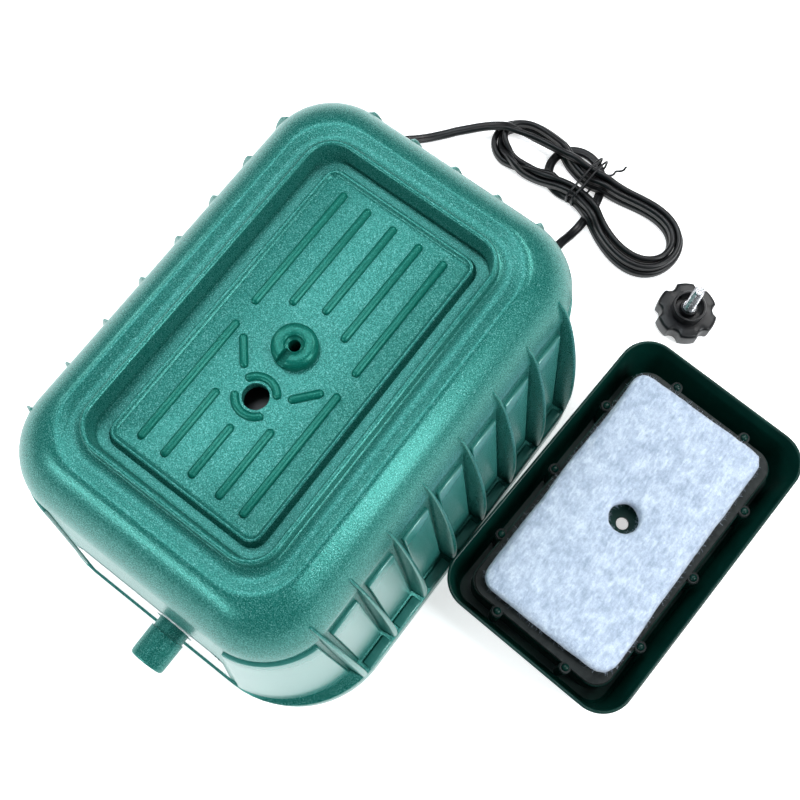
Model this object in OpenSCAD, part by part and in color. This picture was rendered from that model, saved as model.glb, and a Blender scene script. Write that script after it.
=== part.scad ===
// Linear diaphragm air pump with its filter cover taken off and laid beside it.
// Origin: middle of the pump's footprint, on the plane its feet stand on.
// +X is the side where the cover lies, -Y the outlet side, +Y the cord side, +Z up.

/* [Housing] */
// Width of the flange, along X
flange_w = 192; // [188:1:198]
// Length of the flange, along Y
flange_l = 257; // [253:1:262]
// Thickness of the casting walls
casting_t = 3; // [2.5:0.1:3.2]
// Height of the rain rim round the filter recess
rim_top = 162.5; // [161:0.5:165]
// Ribs on each long side
side_ribs = 8; // [4:1:8]
// Thickness of a rib
rib_t = 2.4; // [1.8:0.1:3]

/* [Filter] */
// Length of the cover's open rim
cover_l = 171.8; // [171.6:0.1:174]
// Width of the cover's open rim
cover_w = 107.2; // [106:0.2:107.2]
// Height of the cover
cover_h = 38.9; // [37:0.1:41]
// Thickness of the filter pad
pad_t = 11.5; // [9:0.5:12]

/* [Air path] */
// Outside diameter of the outlet spigot
outlet_d = 18; // [17:0.5:18]
// Height of the outlet axis
outlet_z = 65; // [62:1:68]
// Distance of the outlet axis from the middle
outlet_x = 14; // [12:1:16]
// Diameter of the air inlet under the filter
inlet_d = 11.6; // [9:0.2:12.5]

/* [Drive] */
// Diameter of the pumping diaphragms
diaphragm_d = 72; // [70:1:74]
// Diameter of the armature shaft
shaft_d = 6; // [5:0.5:6]

/* [Cord] */
// Width of the flat mains cord
cord_w = 5.4; // [5:0.1:5.8]
// Thickness of the flat mains cord
cord_t = 3.4; // [3:0.1:3.6]

/* [Hidden] */
$fn = 48;

// Colours
hammer_green = [0.13, 0.53, 0.43];
cover_green = [0.05, 0.26, 0.21];
black_rubber = [0.08, 0.08, 0.09];
black_plastic = [0.06, 0.06, 0.06];
steel = [0.75, 0.76, 0.78];
lamination = [0.45, 0.46, 0.48];
copper = [0.72, 0.38, 0.18];
cream_plastic = [0.85, 0.83, 0.76];
grey_plastic = [0.35, 0.36, 0.38];
felt_white = [0.86, 0.89, 0.95];

// Heights of the castings
foot_h = 4;
base_floor_t = 3.5;
base_top = 18;
gasket_t = 1;
flange_bottom = base_top + gasket_t;
flange_top = 23;
wall_top = 130;
shoulder_h = 37;
shoulder_top = 158;
shoulder_r = 26;
valley_z = 155;
channel_z = 149;
lip_top = 154;
plate_z = 152;
plate_under = 146;

// Half sizes of the housing's outline, [x, front y, rear y], where front and rear differ
half_w = flange_w / 2;
half_l = flange_l / 2;
wall_foot_x = 88;
wall_foot_front = 127;
wall_foot_rear = 122;
wall_head_x = 78.8;
wall_head_y = 113.6;
shoulder_x = 80;
shoulder_y = 114.6;
shoulder_corner = 33;
wall_head_corner = 34;
recess_x = 46.8;
recess_y = 81.6;
rim_w = 2.6;
lip_x = 39.2;
lip_y = 75.25;
inlet_y = -26;
rib_pitch = 24.4;
rear_rib_pitch = 23;
side_rib_head_x = 75.5;
rear_rib_head_y = 110.4;
rib_head_z = 143;
rib_elbow_z = 44;
rib_taper = 0.2;
rib_fullness = 0.6;
rib_steps = 12;
bead_r = 1.9;
inlet_arc_r = 8.7;
stud_boss_r = 10;
stud_hole_r = 2.65;
stud_dimple_r = 3.9;
stud_slot_w = 3.9;

// Cover, in its own frame: upside down, rim at the top
cover_at = [153.3, 52.3];
cover_yaw = -2.8;
cover_wall = 1.6;
gasket_z = 26;
gasket_sheet = 2;
inner_x = 42.4;
inner_y = 74.6;
sheet_x = 41.5;
sheet_y = 74.2;
peg_x = [-43.4, 43.4];
peg_ys = [-43.8, 0, 43.8];
peg_end_xs = [-21.2, 21.2];
pad_at = [-1.1, 0];
pad_yaw = 1.6;
pad_w = 79.2;
pad_l = 140.6;
pad_hole_d = 14;
dish_r = 17.5;
dish_depth = 23.5;

// Knob, upside down on the floor
knob_at = [116, 175.2];
knob_r = 16.4;
knob_h = 12;
collar_h = 6;
stud_top = 40;
stud_r = 3;

// Pump unit
axis_z = 70;
end_in = 44;
end_t = 4;
diaphragm_t = 2.5;
chamber_y = end_in + end_t + diaphragm_t;
chamber_t = 9.5;
valve_y = chamber_y + chamber_t;
valve_t = 3;
head_y = valve_y + valve_t + gasket_t;
head_t = 18;
head_w = 84;
head_h = 72;
chamber_r = 28;
window = 8;
window_z = 16;
bolt_x = 36;
bolt_z = 30;
bolt_r = 2;
hose_x = -14;
hose_z = 126;
bend_r = 13;
tank_z = 113;
tank_h = 25;
tank_l = 112;
tank_w = 68;
gap = 0.05;

// Outlet spigot
spigot_end = -142.4;
spigot_shank_r = 8.2;

// Fastener places
foot_at = [68, 100];
boss_at = [79, 50];
isolator_at = [46, 36];
terminal_x = 22;
terminal_y = 105;
terminal_z = 12;
tank_ear_x = 38;

// Cord: where it leaves the grip, its two runs on the floor, and its hank
gland_x = 37;
gland_z = 11;
grip_end = 156;
near_run = [
    [37, 156, 11], [37, 157.5, 11], [37, 160.5, 10.8], [37, 163.5, 10.3], [37.1, 166.5, 9.4],
    [37.2, 169.2, 8.1], [37.4, 171.9, 6.5], [37.6, 174.6, 4.8], [37.8, 177.3, 3.5],
    [38, 180.3, 2.5], [38.3, 183.3, 2], [38.5, 186.3, 1.8], [38.6, 191, 1.8]];
plug_at = [-74, 166.7];
plug_yaw = 234.2;
plug_run = [
    [-34, 207, 6], [-38.4, 205, 5.6], [-43, 202, 4.8], [-47.6, 198.2, 3.8], [-52, 193.8, 2.9],
    [-56.2, 189, 2.4], [-60.2, 184.2, 2.3], [-64.2, 179.2, 2.7], [-67.8, 174.6, 3.9],
    [-70.6, 171, 5.4], [plug_at[0] - 2.4 * cos(plug_yaw), plug_at[1] - 2.4 * sin(plug_yaw), 6.3],
    [plug_at[0], plug_at[1], 6.4]];
plug_l = 36;
plug_w = 35;
plug_h = 12.8;
hank_h = 13;
tie_x = 27;
tie_w = 3;
tie_t = 0.8;

// ---------- helpers ----------

// One closed outline of a rounded rectangle with a front and a rear half length, at height z
function ring(x, front, rear, r, z) = [
    for (c = [0:3], s = [0:8])
        let (a = 90 * c + s * 90 / 8,
             cx = (c == 0 || c == 3 ? x - r : r - x),
             cy = (c < 2 ? rear - r : r - front))
        [cx + r * cos(a), cy + r * sin(a), z]];

// A closed solid through a list of outlines with equally many points each
module loft(rings) {
    n = len(rings[0]);
    last = len(rings) - 1;
    polyhedron(
        points = [for (outline = rings, p = outline) p],
        faces = concat(
            [[for (i = [0:n - 1]) i]],
            [for (k = [0:last - 1], i = [0:n - 1])
                let (j = (i + 1) % n) [k * n + i, k * n + n + i, k * n + n + j]],
            [for (k = [0:last - 1], i = [0:n - 1])
                let (j = (i + 1) % n) [k * n + i, k * n + n + j, k * n + j]],
            [[for (i = [n - 1:-1:0]) last * n + i]]));
}

module rounded_plate(x, y, r, h) {
    linear_extrude(h) rounded_outline(x, y, r);
}

module rounded_outline(x, y, r) {
    square([2 * x - 2 * r, 2 * y], center = true);
    square([2 * x, 2 * y - 2 * r], center = true);
    for (sx = [-1, 1], sy = [-1, 1])
        translate([sx * (x - r), sy * (y - r)]) circle(r);
}

// Cylinder along +Y from y0 to y1
module y_rod(x, z, r, y0, y1, sides = 48) {
    translate([x, y0, z]) rotate([-90, 0, 0]) cylinder(r = r, h = y1 - y0, $fn = sides);
}

module four(p) {
    for (sx = [-1, 1], sy = [-1, 1]) translate([sx * p[0], sy * p[1], 0]) children();
}

// A tube swept along a list of points by eight-sided rings, flat side down
function run_dir(p, i) =
    let (d = p[min(i + 1, len(p) - 1)] - p[max(i - 1, 0)]) d / norm(d);
function run_ring(p, i, w, h) =
    let (t = run_dir(p, i), side = cross([0, 0, 1], t) / norm(cross([0, 0, 1], t)),
         up = cross(t, side))
    [for (k = [0:7]) p[i] + side * (w / 2 * cos(45 * k)) + up * (h / 2 * sin(45 * k))];

module cord_run(p, w, h) {
    loft([for (i = [0:len(p) - 1]) run_ring(p, len(p) - 1 - i, w, h)]);
}

// ---------- housing ----------

// Points of the shoulder's quarter ellipse: [inset, height]
function shoulder(steps, inset) = [
    for (s = [0:steps])
        let (a = 14 + s * 61 / steps)
        [shoulder_r - inset - (shoulder_r - inset) * cos(a), -shoulder_h + (shoulder_h - inset) * sin(a)]];

module housing_shell() {
    t = casting_t;
    loft(concat(
        [ring(recess_x + 1, recess_y + 1, recess_y + 1, 12, plate_under)],
        [ring(recess_x + 2, recess_y + 2, recess_y + 2, 13, plate_under + 2)],
        [ring(recess_x + 2, recess_y + 2, recess_y + 2, 13, valley_z - t)],
        [ring(60 - t, 95 - t, 95 - t, 24, shoulder_top - 5)],
        [for (s = [5:-1:0])
            let (q = shoulder(5, t)[s], x = shoulder_x - t - q[0], y = shoulder_y - t - q[0])
            ring(x, y, y, shoulder_corner - t - q[0] * 0.6, shoulder_top + q[1])],
        [ring(wall_foot_x - t, wall_foot_front - t, wall_foot_rear - t, 45, flange_top + 1)],
        [ring(wall_foot_x - t, wall_foot_front - t, wall_foot_rear - t, 45, flange_bottom)],
        [ring(half_w, half_l, half_l, 50, flange_bottom)],
        [ring(half_w, half_l, half_l, 50, flange_top - 1)],
        [ring(half_w - 1, half_l - 1, half_l - 1, 49, flange_top)],
        [ring(wall_foot_x, wall_foot_front, wall_foot_rear, 46, flange_top + 0.6)],
        [ring(wall_head_x, wall_head_y, wall_head_y, wall_head_corner, wall_top - 1.2)],
        [for (s = [0:5])
            let (q = shoulder(5, 0)[s], x = shoulder_x - q[0], y = shoulder_y - q[0])
            ring(x, y, y, shoulder_corner - q[0] * 0.6, shoulder_top + q[1])],
        [ring(59, 93.6, 93.6, 24, shoulder_top - 1.4)],
        [ring(56, 90.6, 90.6, 21, valley_z + 0.2)],
        [ring(recess_x + rim_w + 1, recess_y + rim_w + 1, recess_y + rim_w + 1, 15.6, valley_z)],
        [ring(recess_x + rim_w, recess_y + rim_w, recess_y + rim_w, 14.6, valley_z + 1)],
        [ring(recess_x + rim_w, recess_y + rim_w, recess_y + rim_w, 14.6, rim_top - 0.8)],
        [ring(recess_x + rim_w - 0.8, recess_y + rim_w - 0.8, recess_y + rim_w - 0.8, 13.8, rim_top)],
        [ring(recess_x + 0.8, recess_y + 0.8, recess_y + 0.8, 12.8, rim_top)],
        [ring(recess_x, recess_y, recess_y, 12, rim_top - 0.8)],
        [ring(recess_x - 0.8, recess_y - 0.8, recess_y - 0.8, 11, channel_z + 1)],
        [ring(recess_x - 1.8, recess_y - 1.8, recess_y - 1.8, 10, channel_z)],
        [ring(lip_x + 0.8, lip_y + 0.8, lip_y + 0.8, 6.8, channel_z)],
        [ring(lip_x, lip_y, lip_y, 6, lip_top - 0.5)],
        [ring(lip_x - 0.5, lip_y - 0.5, lip_y - 0.5, 5.5, lip_top)],
        [ring(lip_x - 1.6, lip_y - 1.6, lip_y - 1.6, 4.4, lip_top)],
        [ring(lip_x - 2.1, lip_y - 2.1, lip_y - 2.1, 4, plate_z)]));
}

// How far a rib stands out, from 1 at its elbow (up = 0) to 0 at its blunt head (up = 1)
function rib_bulge(up) = (1 - rib_taper * up) * pow(1 - up * up, rib_fullness);

// Rib in the plane of distance (out) and height, head and foot given as distances
module rib(head, foot, wall_low, wall_high) {
    linear_extrude(rib_t, center = true)
        polygon(concat(
            [[wall_low, flange_top - 1], [foot, flange_top - 1]],
            [for (k = [0:rib_steps])
                let (up = k / rib_steps)
                [head + (foot - head) * rib_bulge(up), rib_elbow_z + up * (rib_head_z - rib_elbow_z)]],
            [[wall_high - 2, rib_head_z - 1], [wall_high, wall_top]]));
}

module side_rib_set() {
    for (side = [0, 180], k = [0:side_ribs - 1])
        rotate([0, 0, side])
            translate([0, (k - (side_ribs - 1) / 2) * rib_pitch, 0]) rotate([90, 0, 0])
                rib(side_rib_head_x, half_w - 0.2, wall_foot_x - 1.5, wall_head_x - 1.5);
    for (k = [-2:2])
        translate([k * rear_rib_pitch, 0, 0]) rotate([90, 0, 90])
            rib(rear_rib_head_y, half_l - 0.2, wall_foot_rear - 1.5, wall_head_y - 1.5);
}

module flange_pads() {
    for (side = [-1, 1], k = [0:side_ribs - 2])
        translate([side * (half_w - 3), (k - (side_ribs - 2) / 2) * rib_pitch, flange_top])
            cube([3.2, 17, 3.2], center = true);
    for (k = [-1.5:1:1.5])
        translate([k * rear_rib_pitch, half_l - 3, flange_top]) cube([16, 3.2, 3.2], center = true);
}

// Raised bead on the recess plate from y0 to y1
module plate_bead(x, y0, y1) {
    y_rod(x, plate_z, bead_r, y0, y1, 24);
    for (y = [y0, y1]) translate([x, y, plate_z]) sphere(bead_r, $fn = 24);
}

module arc_bead(a0, a1) {
    translate([0, inlet_y, plate_z]) rotate([0, 0, a0])
        rotate_extrude(angle = a1 - a0) translate([inlet_arc_r, 0]) circle(bead_r, $fn = 24);
}

module plate_beads() {
    for (b = [[0, 20.7], [13.7, 15.7], [26.7, 6.6]], s = [-1, 1])
        plate_bead(s * b[0], b[1], 66.4);
    for (b = [[0, -42.7], [14.4, -34.5], [26.8, -6.5]], s = [-1, 1])
        plate_bead(s * b[0], -66.5, b[1]);
    arc_bead(27, 159);
    arc_bead(200, 331);
    for (s = [-1, 1])
        translate([s * 16.5, -13.7, 0]) rotate([0, 0, -s * 41])
            plate_bead(0, -5.7, 5.7);
}

module upper_housing() {
    color(hammer_green) difference() {
        union() {
            housing_shell();
            side_rib_set();
            flange_pads();
            plate_beads();
            translate([0, 0, plate_under - 4]) cylinder(r = stud_boss_r, h = 16);
            four(boss_at) translate([0, 0, flange_bottom]) cylinder(r = 5, h = 50);
            for (s = [-1, 1])
                translate([s * tank_ear_x, 0, tank_z + tank_h + 1]) cylinder(r = 5, h = 12);
            y_rod(outlet_x, outlet_z, outlet_d / 2 + 0.8, -126.6, -116);
        }
        translate([0, 0, plate_under - 5]) cylinder(r = stud_hole_r, h = 20);
        translate([0, 0, shoulder_top - 2.2]) cylinder(r = stud_dimple_r, h = 5);
        translate([-stud_slot_w / 2, -stud_boss_r - 1, shoulder_top - 4])
            cube([stud_slot_w, stud_boss_r + 1, 6]);
        translate([0, inlet_y, plate_under - 1]) cylinder(r = inlet_d / 2, h = 12);
        four(boss_at) translate([0, 0, flange_bottom - 1]) cylinder(r = bolt_r + gap, h = 32);
        for (s = [-1, 1])
            translate([s * tank_ear_x, 0, tank_z]) cylinder(r = bolt_r + gap, h = 34);
        y_rod(outlet_x, outlet_z, spigot_shank_r + gap, -130, -100);
    }
}

module side_label() {
    // White blank rating label on the sloping front wall, notched for the outlet
    slope = atan2(wall_foot_front - wall_head_y, wall_top - flange_top - 1.8);
    color([0.93, 0.94, 0.95]) difference() {
        translate([0, -wall_foot_front - 0.05, flange_top + 0.6]) rotate([90 - slope, 0, 0])
            linear_extrude(0.3)
                polygon([[-44, 6], [44, 6], [44, 51], [38, 57], [-38, 57], [-44, 51]]);
        y_rod(outlet_x, outlet_z, outlet_d / 2 + 1.2, -135, -110);
    }
}

// ---------- base ----------

module base_casting() {
    color(hammer_green) difference() {
        union() {
            difference() {
                translate([0, 0, foot_h]) rounded_plate(half_w, half_l, 50, base_top - foot_h);
                translate([0, 0, foot_h + base_floor_t])
                    rounded_plate(half_w - 5, half_l - 5, 45, base_top);
            }
            four(boss_at) translate([0, 0, foot_h]) cylinder(r = 6, h = base_top - foot_h);
            four(isolator_at) translate([0, 0, foot_h]) cylinder(r = 10, h = 6);
            translate([terminal_x - 2, terminal_y - 2, foot_h]) cube([34, 14, terminal_z - foot_h]);
        }
        four(foot_at) translate([0, 0, foot_h - 1]) cylinder(r = 6, h = base_floor_t + 2);
        four(boss_at) {
            translate([0, 0, foot_h - 1]) cylinder(r = bolt_r + 0.2, h = base_top);
            translate([0, 0, foot_h - 1]) cylinder(r = 4.2, h = 3.6);
        }
        four(isolator_at) translate([0, 0, foot_h - 1]) cylinder(r = bolt_r + gap, h = 8);
        four(isolator_at) translate([0, 0, foot_h - 1]) cylinder(r = 4.2, h = 3.6);
        y_rod(gland_x, gland_z, 5, half_l - 8, half_l + 1);
    }
}

module base_gasket() {
    color(black_rubber) translate([0, 0, base_top]) difference() {
        rounded_plate(half_w - 1, half_l - 1, 49, gasket_t);
        translate([0, 0, -1]) rounded_plate(half_w - 8, half_l - 6, 44, gasket_t + 2);
    }
}

module rubber_feet() {
    color(black_rubber) four(foot_at) {
        cylinder(r = 12, h = foot_h);
        cylinder(r = 6 - gap, h = foot_h + base_floor_t);
    }
}

module screw_up(z, length) {
    translate([0, 0, z]) cylinder(r = 3.8, h = 2.4);
    translate([0, 0, z]) cylinder(r = bolt_r, h = length);
}

module base_screws() {
    color(steel) four(boss_at) screw_up(foot_h + 0.2, 40);
}

// ---------- air path ----------

module outlet_spigot() {
    color(hammer_green) difference() {
        union() {
            y_rod(outlet_x, outlet_z, outlet_d / 2, spigot_end, -126.6);
            y_rod(outlet_x, outlet_z, spigot_shank_r, -126.7, -112);
            y_rod(outlet_x, outlet_z, 7, -112.1, -105);
        }
        y_rod(outlet_x, outlet_z, 5.5, spigot_end - 1, -101);
    }
}

// Quarter bend of a tube about the X axis direction, from +Z down to horizontal
module quarter_bend(r_out, r_in, turn) {
    rotate([0, 0, 90]) rotate([90, 0, 0]) rotate([0, 0, turn])
        rotate_extrude(angle = 90) translate([bend_r, 0]) difference() {
            circle(r_out);
            circle(r_in);
        }
}

module outlet_hose() {
    r_out = 9;
    r_in = 7 + gap;
    barb_end = -105;
    down_y = barb_end + bend_r;
    color(black_rubber) {
        difference() {
            y_rod(outlet_x, outlet_z, r_out, -111.5, barb_end);
            y_rod(outlet_x, outlet_z, r_in, -113, barb_end + 1);
        }
        translate([outlet_x, barb_end, outlet_z + bend_r]) quarter_bend(r_out, r_in, 270);
        translate([outlet_x, down_y, outlet_z + bend_r]) difference() {
            cylinder(r = r_out, h = hose_z - outlet_z - 2 * bend_r);
            translate([0, 0, -1]) cylinder(r = r_in, h = hose_z - outlet_z);
        }
        translate([outlet_x, down_y + bend_r, hose_z - bend_r]) quarter_bend(r_out, r_in, 90);
        difference() {
            y_rod(outlet_x, hose_z, r_out, down_y + bend_r, -57);
            y_rod(outlet_x, hose_z, r_in, down_y, -50);
        }
    }
}

module air_tank() {
    half = tank_l / 2;
    color(black_plastic) difference() {
        union() {
            translate([0, 0, tank_z]) rounded_plate(tank_w / 2, half, 6, tank_h);
            y_rod(outlet_x, hose_z, 7, -half - 10, -half + 2);
            y_rod(hose_x, hose_z, 5, -half - 4, -half + 2);
            y_rod(hose_x, hose_z, 5, half - 2, half + 4);
            for (s = [-1, 1])
                translate([s * tank_ear_x, 0, tank_z + tank_h - 4]) cylinder(r = 6, h = 5);
        }
        translate([0, 0, tank_z + 2.5]) rounded_plate(tank_w / 2 - 2.5, half - 2.5, 4, tank_h - 5);
        y_rod(outlet_x, hose_z, 5, -half - 11, -half + 4);
        y_rod(hose_x, hose_z, 3, -half - 7, -half + 4);
        y_rod(hose_x, hose_z, 3, half - 4, half + 7);
        for (s = [-1, 1])
            translate([s * tank_ear_x, 0, tank_z]) cylinder(r = bolt_r + gap, h = tank_h + 2);
    }
}

module tank_screws() {
    color(steel) for (s = [-1, 1]) translate([s * tank_ear_x, 0, 0]) {
        translate([0, 0, tank_z + tank_h - 6.6]) cylinder(r = 3.6, h = 2.5);
        translate([0, 0, tank_z + tank_h - 6.6]) cylinder(r = bolt_r, h = 14);
    }
}

// Rubber elbow from a pump head's top port to the tank's end port
module head_hose() {
    r_out = 7;
    r_in = 5 + gap;
    port_y = head_y + 9;
    color(black_rubber) translate([hose_x, 0, 0]) {
        translate([0, port_y, axis_z + head_h / 2 + 0.5]) difference() {
            cylinder(r = r_out, h = hose_z - bend_r - axis_z - head_h / 2 - 0.5);
            translate([0, 0, -1]) cylinder(r = r_in, h = 20);
        }
        translate([0, port_y - bend_r, hose_z - bend_r]) quarter_bend(r_out, r_in, 0);
        difference() {
            y_rod(0, hose_z, r_out, tank_l / 2 + 0.5, port_y - bend_r);
            y_rod(0, hose_z, r_in, tank_l / 2, port_y - bend_r + 1);
        }
    }
}

module front_head_hose() {
    mirror([0, 1, 0]) head_hose();
}

module rear_head_hose() {
    head_hose();
}

// ---------- pump unit ----------

module bolt_holes(r, y0, y1) {
    for (sx = [-1, 1], sz = [-1, 1])
        y_rod(sx * bolt_x, axis_z + sz * bolt_z, r, y0, y1);
}

module head_block(y0, t) {
    translate([-head_w / 2, y0, axis_z - head_h / 2]) cube([head_w, t, head_h]);
}

module motor_frame() {
    color([0.6, 0.62, 0.63]) difference() {
        union() {
            translate([-56, -end_in - end_t, 30]) cube([112, 2 * (end_in + end_t), 4]);
            for (s = [0, 1]) mirror([0, s, 0])
                translate([-head_w / 2, end_in, 30]) cube([head_w, end_t, axis_z + head_h / 2 - 30]);
            for (s = [0, 1]) mirror([s, 0, 0]) translate([40, -30, 30]) cube([12, 60, 25]);
        }
        for (s = [0, 1]) mirror([0, s, 0]) {
            y_rod(0, axis_z, 27, end_in - 1, end_in + end_t + 1);
            bolt_holes(bolt_r + gap, end_in - 1, end_in + end_t + 1);
        }
        four(isolator_at) translate([0, 0, 29]) cylinder(r = bolt_r + gap, h = 6);
    }
}

module rubber_isolators() {
    color(black_rubber) four(isolator_at) difference() {
        translate([0, 0, 10]) cylinder(r = 8, h = 20);
        translate([0, 0, 9]) cylinder(r = bolt_r + gap, h = 22);
    }
}

module isolator_screws() {
    color(steel) four(isolator_at) {
        screw_up(foot_h + 0.2, 14);
        translate([0, 0, 24]) cylinder(r = bolt_r, h = 10);
        translate([0, 0, 34]) cylinder(r = 3.8, h = 2.6);
    }
}

// E-shaped lamination pack, legs pointing at the armature
module stator_core() {
    color(lamination) {
        translate([40, -36, 55]) cube([12, 72, 30]);
        for (y = [-36, -8, 24]) translate([14, y, 55]) cube([26.1, y == -8 ? 16 : 12, 30]);
    }
}

module bobbin() {
    color(cream_plastic) difference() {
        union() {
            translate([17, -9.2, 53.8]) cube([22, 18.4, 32.4]);
            for (x = [17, 37.5]) translate([x, -21.5, 43]) cube([1.5, 43, 54]);
        }
        translate([16, -8.1, 54.9]) cube([25, 16.2, 30.2]);
    }
}

module winding() {
    color(copper) difference() {
        translate([18.6, -20.5, 44]) cube([18.8, 41, 52]);
        translate([18, -9.3, 53.7]) cube([20, 18.6, 32.6]);
    }
}

module left_stator_core() {
    mirror([1, 0, 0]) stator_core();
}

module right_stator_core() {
    stator_core();
}

module left_bobbin() {
    mirror([1, 0, 0]) bobbin();
}

module right_bobbin() {
    bobbin();
}

module left_winding() {
    mirror([1, 0, 0]) winding();
}

module right_winding() {
    winding();
}

module armature_shaft() {
    color(steel) y_rod(0, axis_z, shaft_d / 2, -57, 57);
}

module magnet_carrier() {
    color(cream_plastic) difference() {
        translate([-9, -32, axis_z - 16]) cube([18, 64, 32]);
        for (y = [-17, 17]) translate([0, y, axis_z]) cube([30, 20.2, 26.2], center = true);
        y_rod(0, axis_z, shaft_d / 2 + gap, -33, 33);
    }
}

module drive_magnets() {
    color(lamination) difference() {
        for (y = [-17, 17]) translate([0, y, axis_z]) cube([20, 20, 26], center = true);
        y_rod(0, axis_z, shaft_d / 2 + gap, -33, 33);
    }
}

module diaphragm_plates() {
    color(grey_plastic) for (s = [0, 1]) mirror([0, s, 0]) difference() {
        union() {
            y_rod(0, axis_z, 18, end_in + 1.7, end_in + end_t - 0.3);
            y_rod(0, axis_z, 6, 32.2, end_in + 2);
            y_rod(0, axis_z, 18, chamber_y + 0.3, chamber_y + 2.3);
        }
        y_rod(0, axis_z, shaft_d / 2 + gap, 30, 60);
    }
}

module shaft_nuts() {
    color(steel) for (s = [0, 1]) mirror([0, s, 0]) difference() {
        y_rod(0, axis_z, 5.2, chamber_y + 2.35, chamber_y + 6.3, 6);
        y_rod(0, axis_z, shaft_d / 2 + gap, 50, 60);
    }
}

module diaphragm() {
    color(black_rubber) difference() {
        y_rod(0, axis_z, diaphragm_d / 2, end_in + end_t, chamber_y);
        y_rod(0, axis_z, shaft_d / 2 + 0.3, end_in, chamber_y + 1);
        bolt_holes(bolt_r + 1.5, end_in, chamber_y + 1);
    }
}

module front_diaphragm() {
    mirror([0, 1, 0]) diaphragm();
}

module rear_diaphragm() {
    diaphragm();
}

module chamber() {
    color(grey_plastic) difference() {
        head_block(chamber_y, chamber_t);
        y_rod(0, axis_z, chamber_r, chamber_y - 1, valve_y + 1);
        bolt_holes(bolt_r + 0.2, chamber_y - 1, valve_y + 1);
    }
}

module front_chamber() {
    mirror([0, 1, 0]) chamber();
}

module rear_chamber() {
    chamber();
}

module valve_windows(y0, y1) {
    for (s = [-1, 1])
        translate([-window / 2, y0, axis_z + s * window_z - window / 2])
            cube([window, y1 - y0, window]);
}

module valve_plate() {
    color(grey_plastic) difference() {
        head_block(valve_y, valve_t);
        valve_windows(valve_y - 1, valve_y + valve_t + 1);
        bolt_holes(bolt_r + 0.2, valve_y - 1, valve_y + valve_t + 1);
    }
}

module front_valve_plate() {
    mirror([0, 1, 0]) valve_plate();
}

module rear_valve_plate() {
    valve_plate();
}

module head_gaskets() {
    color(black_rubber) for (s = [0, 1]) mirror([0, s, 0]) difference() {
        head_block(valve_y + valve_t, gasket_t);
        head_cavities(valve_y + valve_t - 1, gasket_t + 2);
        bolt_holes(bolt_r + 0.2, valve_y + valve_t - 1, head_y + 1);
    }
}

module head_cavities(y0, t) {
    for (s = [0, 1]) translate([0, 0, axis_z]) mirror([0, 0, s])
        translate([-26, y0, 3]) cube([52, t, 28]);
}

module head_cover() {
    port_y = head_y + 9;
    color(black_plastic) difference() {
        union() {
            head_block(head_y, head_t);
            translate([hose_x, port_y, axis_z + head_h / 2 - 1]) cylinder(r = 5, h = 6);
        }
        head_cavities(head_y - 1, head_t - 2);
        translate([hose_x, port_y, axis_z + 20]) cylinder(r = 3, h = 30);
        translate([-14, port_y, axis_z - head_h / 2 - 1]) cylinder(r = 5, h = 16);
        bolt_holes(bolt_r + 0.2, head_y - 1, head_y + head_t + 1);
    }
}

module front_head_cover() {
    mirror([0, 1, 0]) head_cover();
}

module rear_head_cover() {
    head_cover();
}

module head_screws() {
    color(steel) for (s = [0, 1]) mirror([0, s, 0]) {
        bolt_holes(bolt_r, end_in - 3, head_y + head_t);
        bolt_holes(3.6, head_y + head_t, head_y + head_t + 2.5);
    }
}

// Rubber leaf with its root towards the axis; swing is its opening about the root
module flap(y, side) {
    color(black_rubber)
        translate([-6.5, y, side > 0 ? axis_z + 8 : axis_z - 23]) cube([13, 0.7, 15]);
}

module rear_intake_flap() {
    flap(valve_y - 1, -1);
}

module rear_exhaust_flap() {
    flap(valve_y + valve_t + 0.3, 1);
}

module front_intake_flap() {
    mirror([0, 1, 0]) flap(valve_y - 1, -1);
}

module front_exhaust_flap() {
    mirror([0, 1, 0]) flap(valve_y + valve_t + 0.3, 1);
}

// ---------- electrics ----------

module terminal_block() {
    color(cream_plastic) translate([terminal_x, terminal_y, terminal_z]) difference() {
        cube([30, 12, 12]);
        for (x = [8, 22]) translate([x, 6, 4]) cylinder(r = 2.2, h = 10);
    }
}

// One insulated lead as straight pieces with round elbows
module lead(points, r) {
    for (i = [0:len(points) - 2]) {
        d = points[i + 1] - points[i];
        translate(points[i]) rotate([0, acos(d[2] / norm(d)), atan2(d[1], d[0])])
            cylinder(r = r, h = norm(d), $fn = 24);
    }
    for (i = [1:len(points) - 2]) translate(points[i]) sphere(r, $fn = 24);
}

module coil_leads() {
    color([0.75, 0.1, 0.1])
        lead([[28, 20.5, 46], [28, 40, 46], [60, 40, 46], [60, 40, 18], [60, 98, 18],
              [46, 98, 18], [46, terminal_y, 18]], 1.2);
    color([0.1, 0.2, 0.6])
        lead([[-28, 20.5, 46], [-28, 40, 46], [-60, 40, 46], [-60, 40, 18], [-60, 92, 18],
              [30, 92, 18], [30, terminal_y, 18]], 1.2);
}

module cord_inner_end() {
    color(black_rubber)
        lead([[gland_x, terminal_y + 12, 16.4], [gland_x, 120.4, 16.4], [gland_x, 120.4, gland_z],
              [gland_x, half_l - 5, gland_z]], cord_t / 2);
}

module cord_grip() {
    color(black_rubber) {
        y_rod(gland_x, gland_z, 5 - gap, half_l - 5, half_l);
        y_rod(gland_x, gland_z, 6.4, half_l, half_l + 3);
        translate([gland_x, half_l + 3, gland_z]) rotate([-90, 0, 0])
            cylinder(r1 = 5.2, r2 = 3.4, h = grip_end - half_l - 3);
    }
}

module cord_tube_near_pump() {
    color(black_plastic) cord_run(near_run, cord_w, cord_t);
}

module cord_tube_to_plug() {
    color(black_plastic) cord_run(plug_run, cord_w, cord_t);
}

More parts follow.
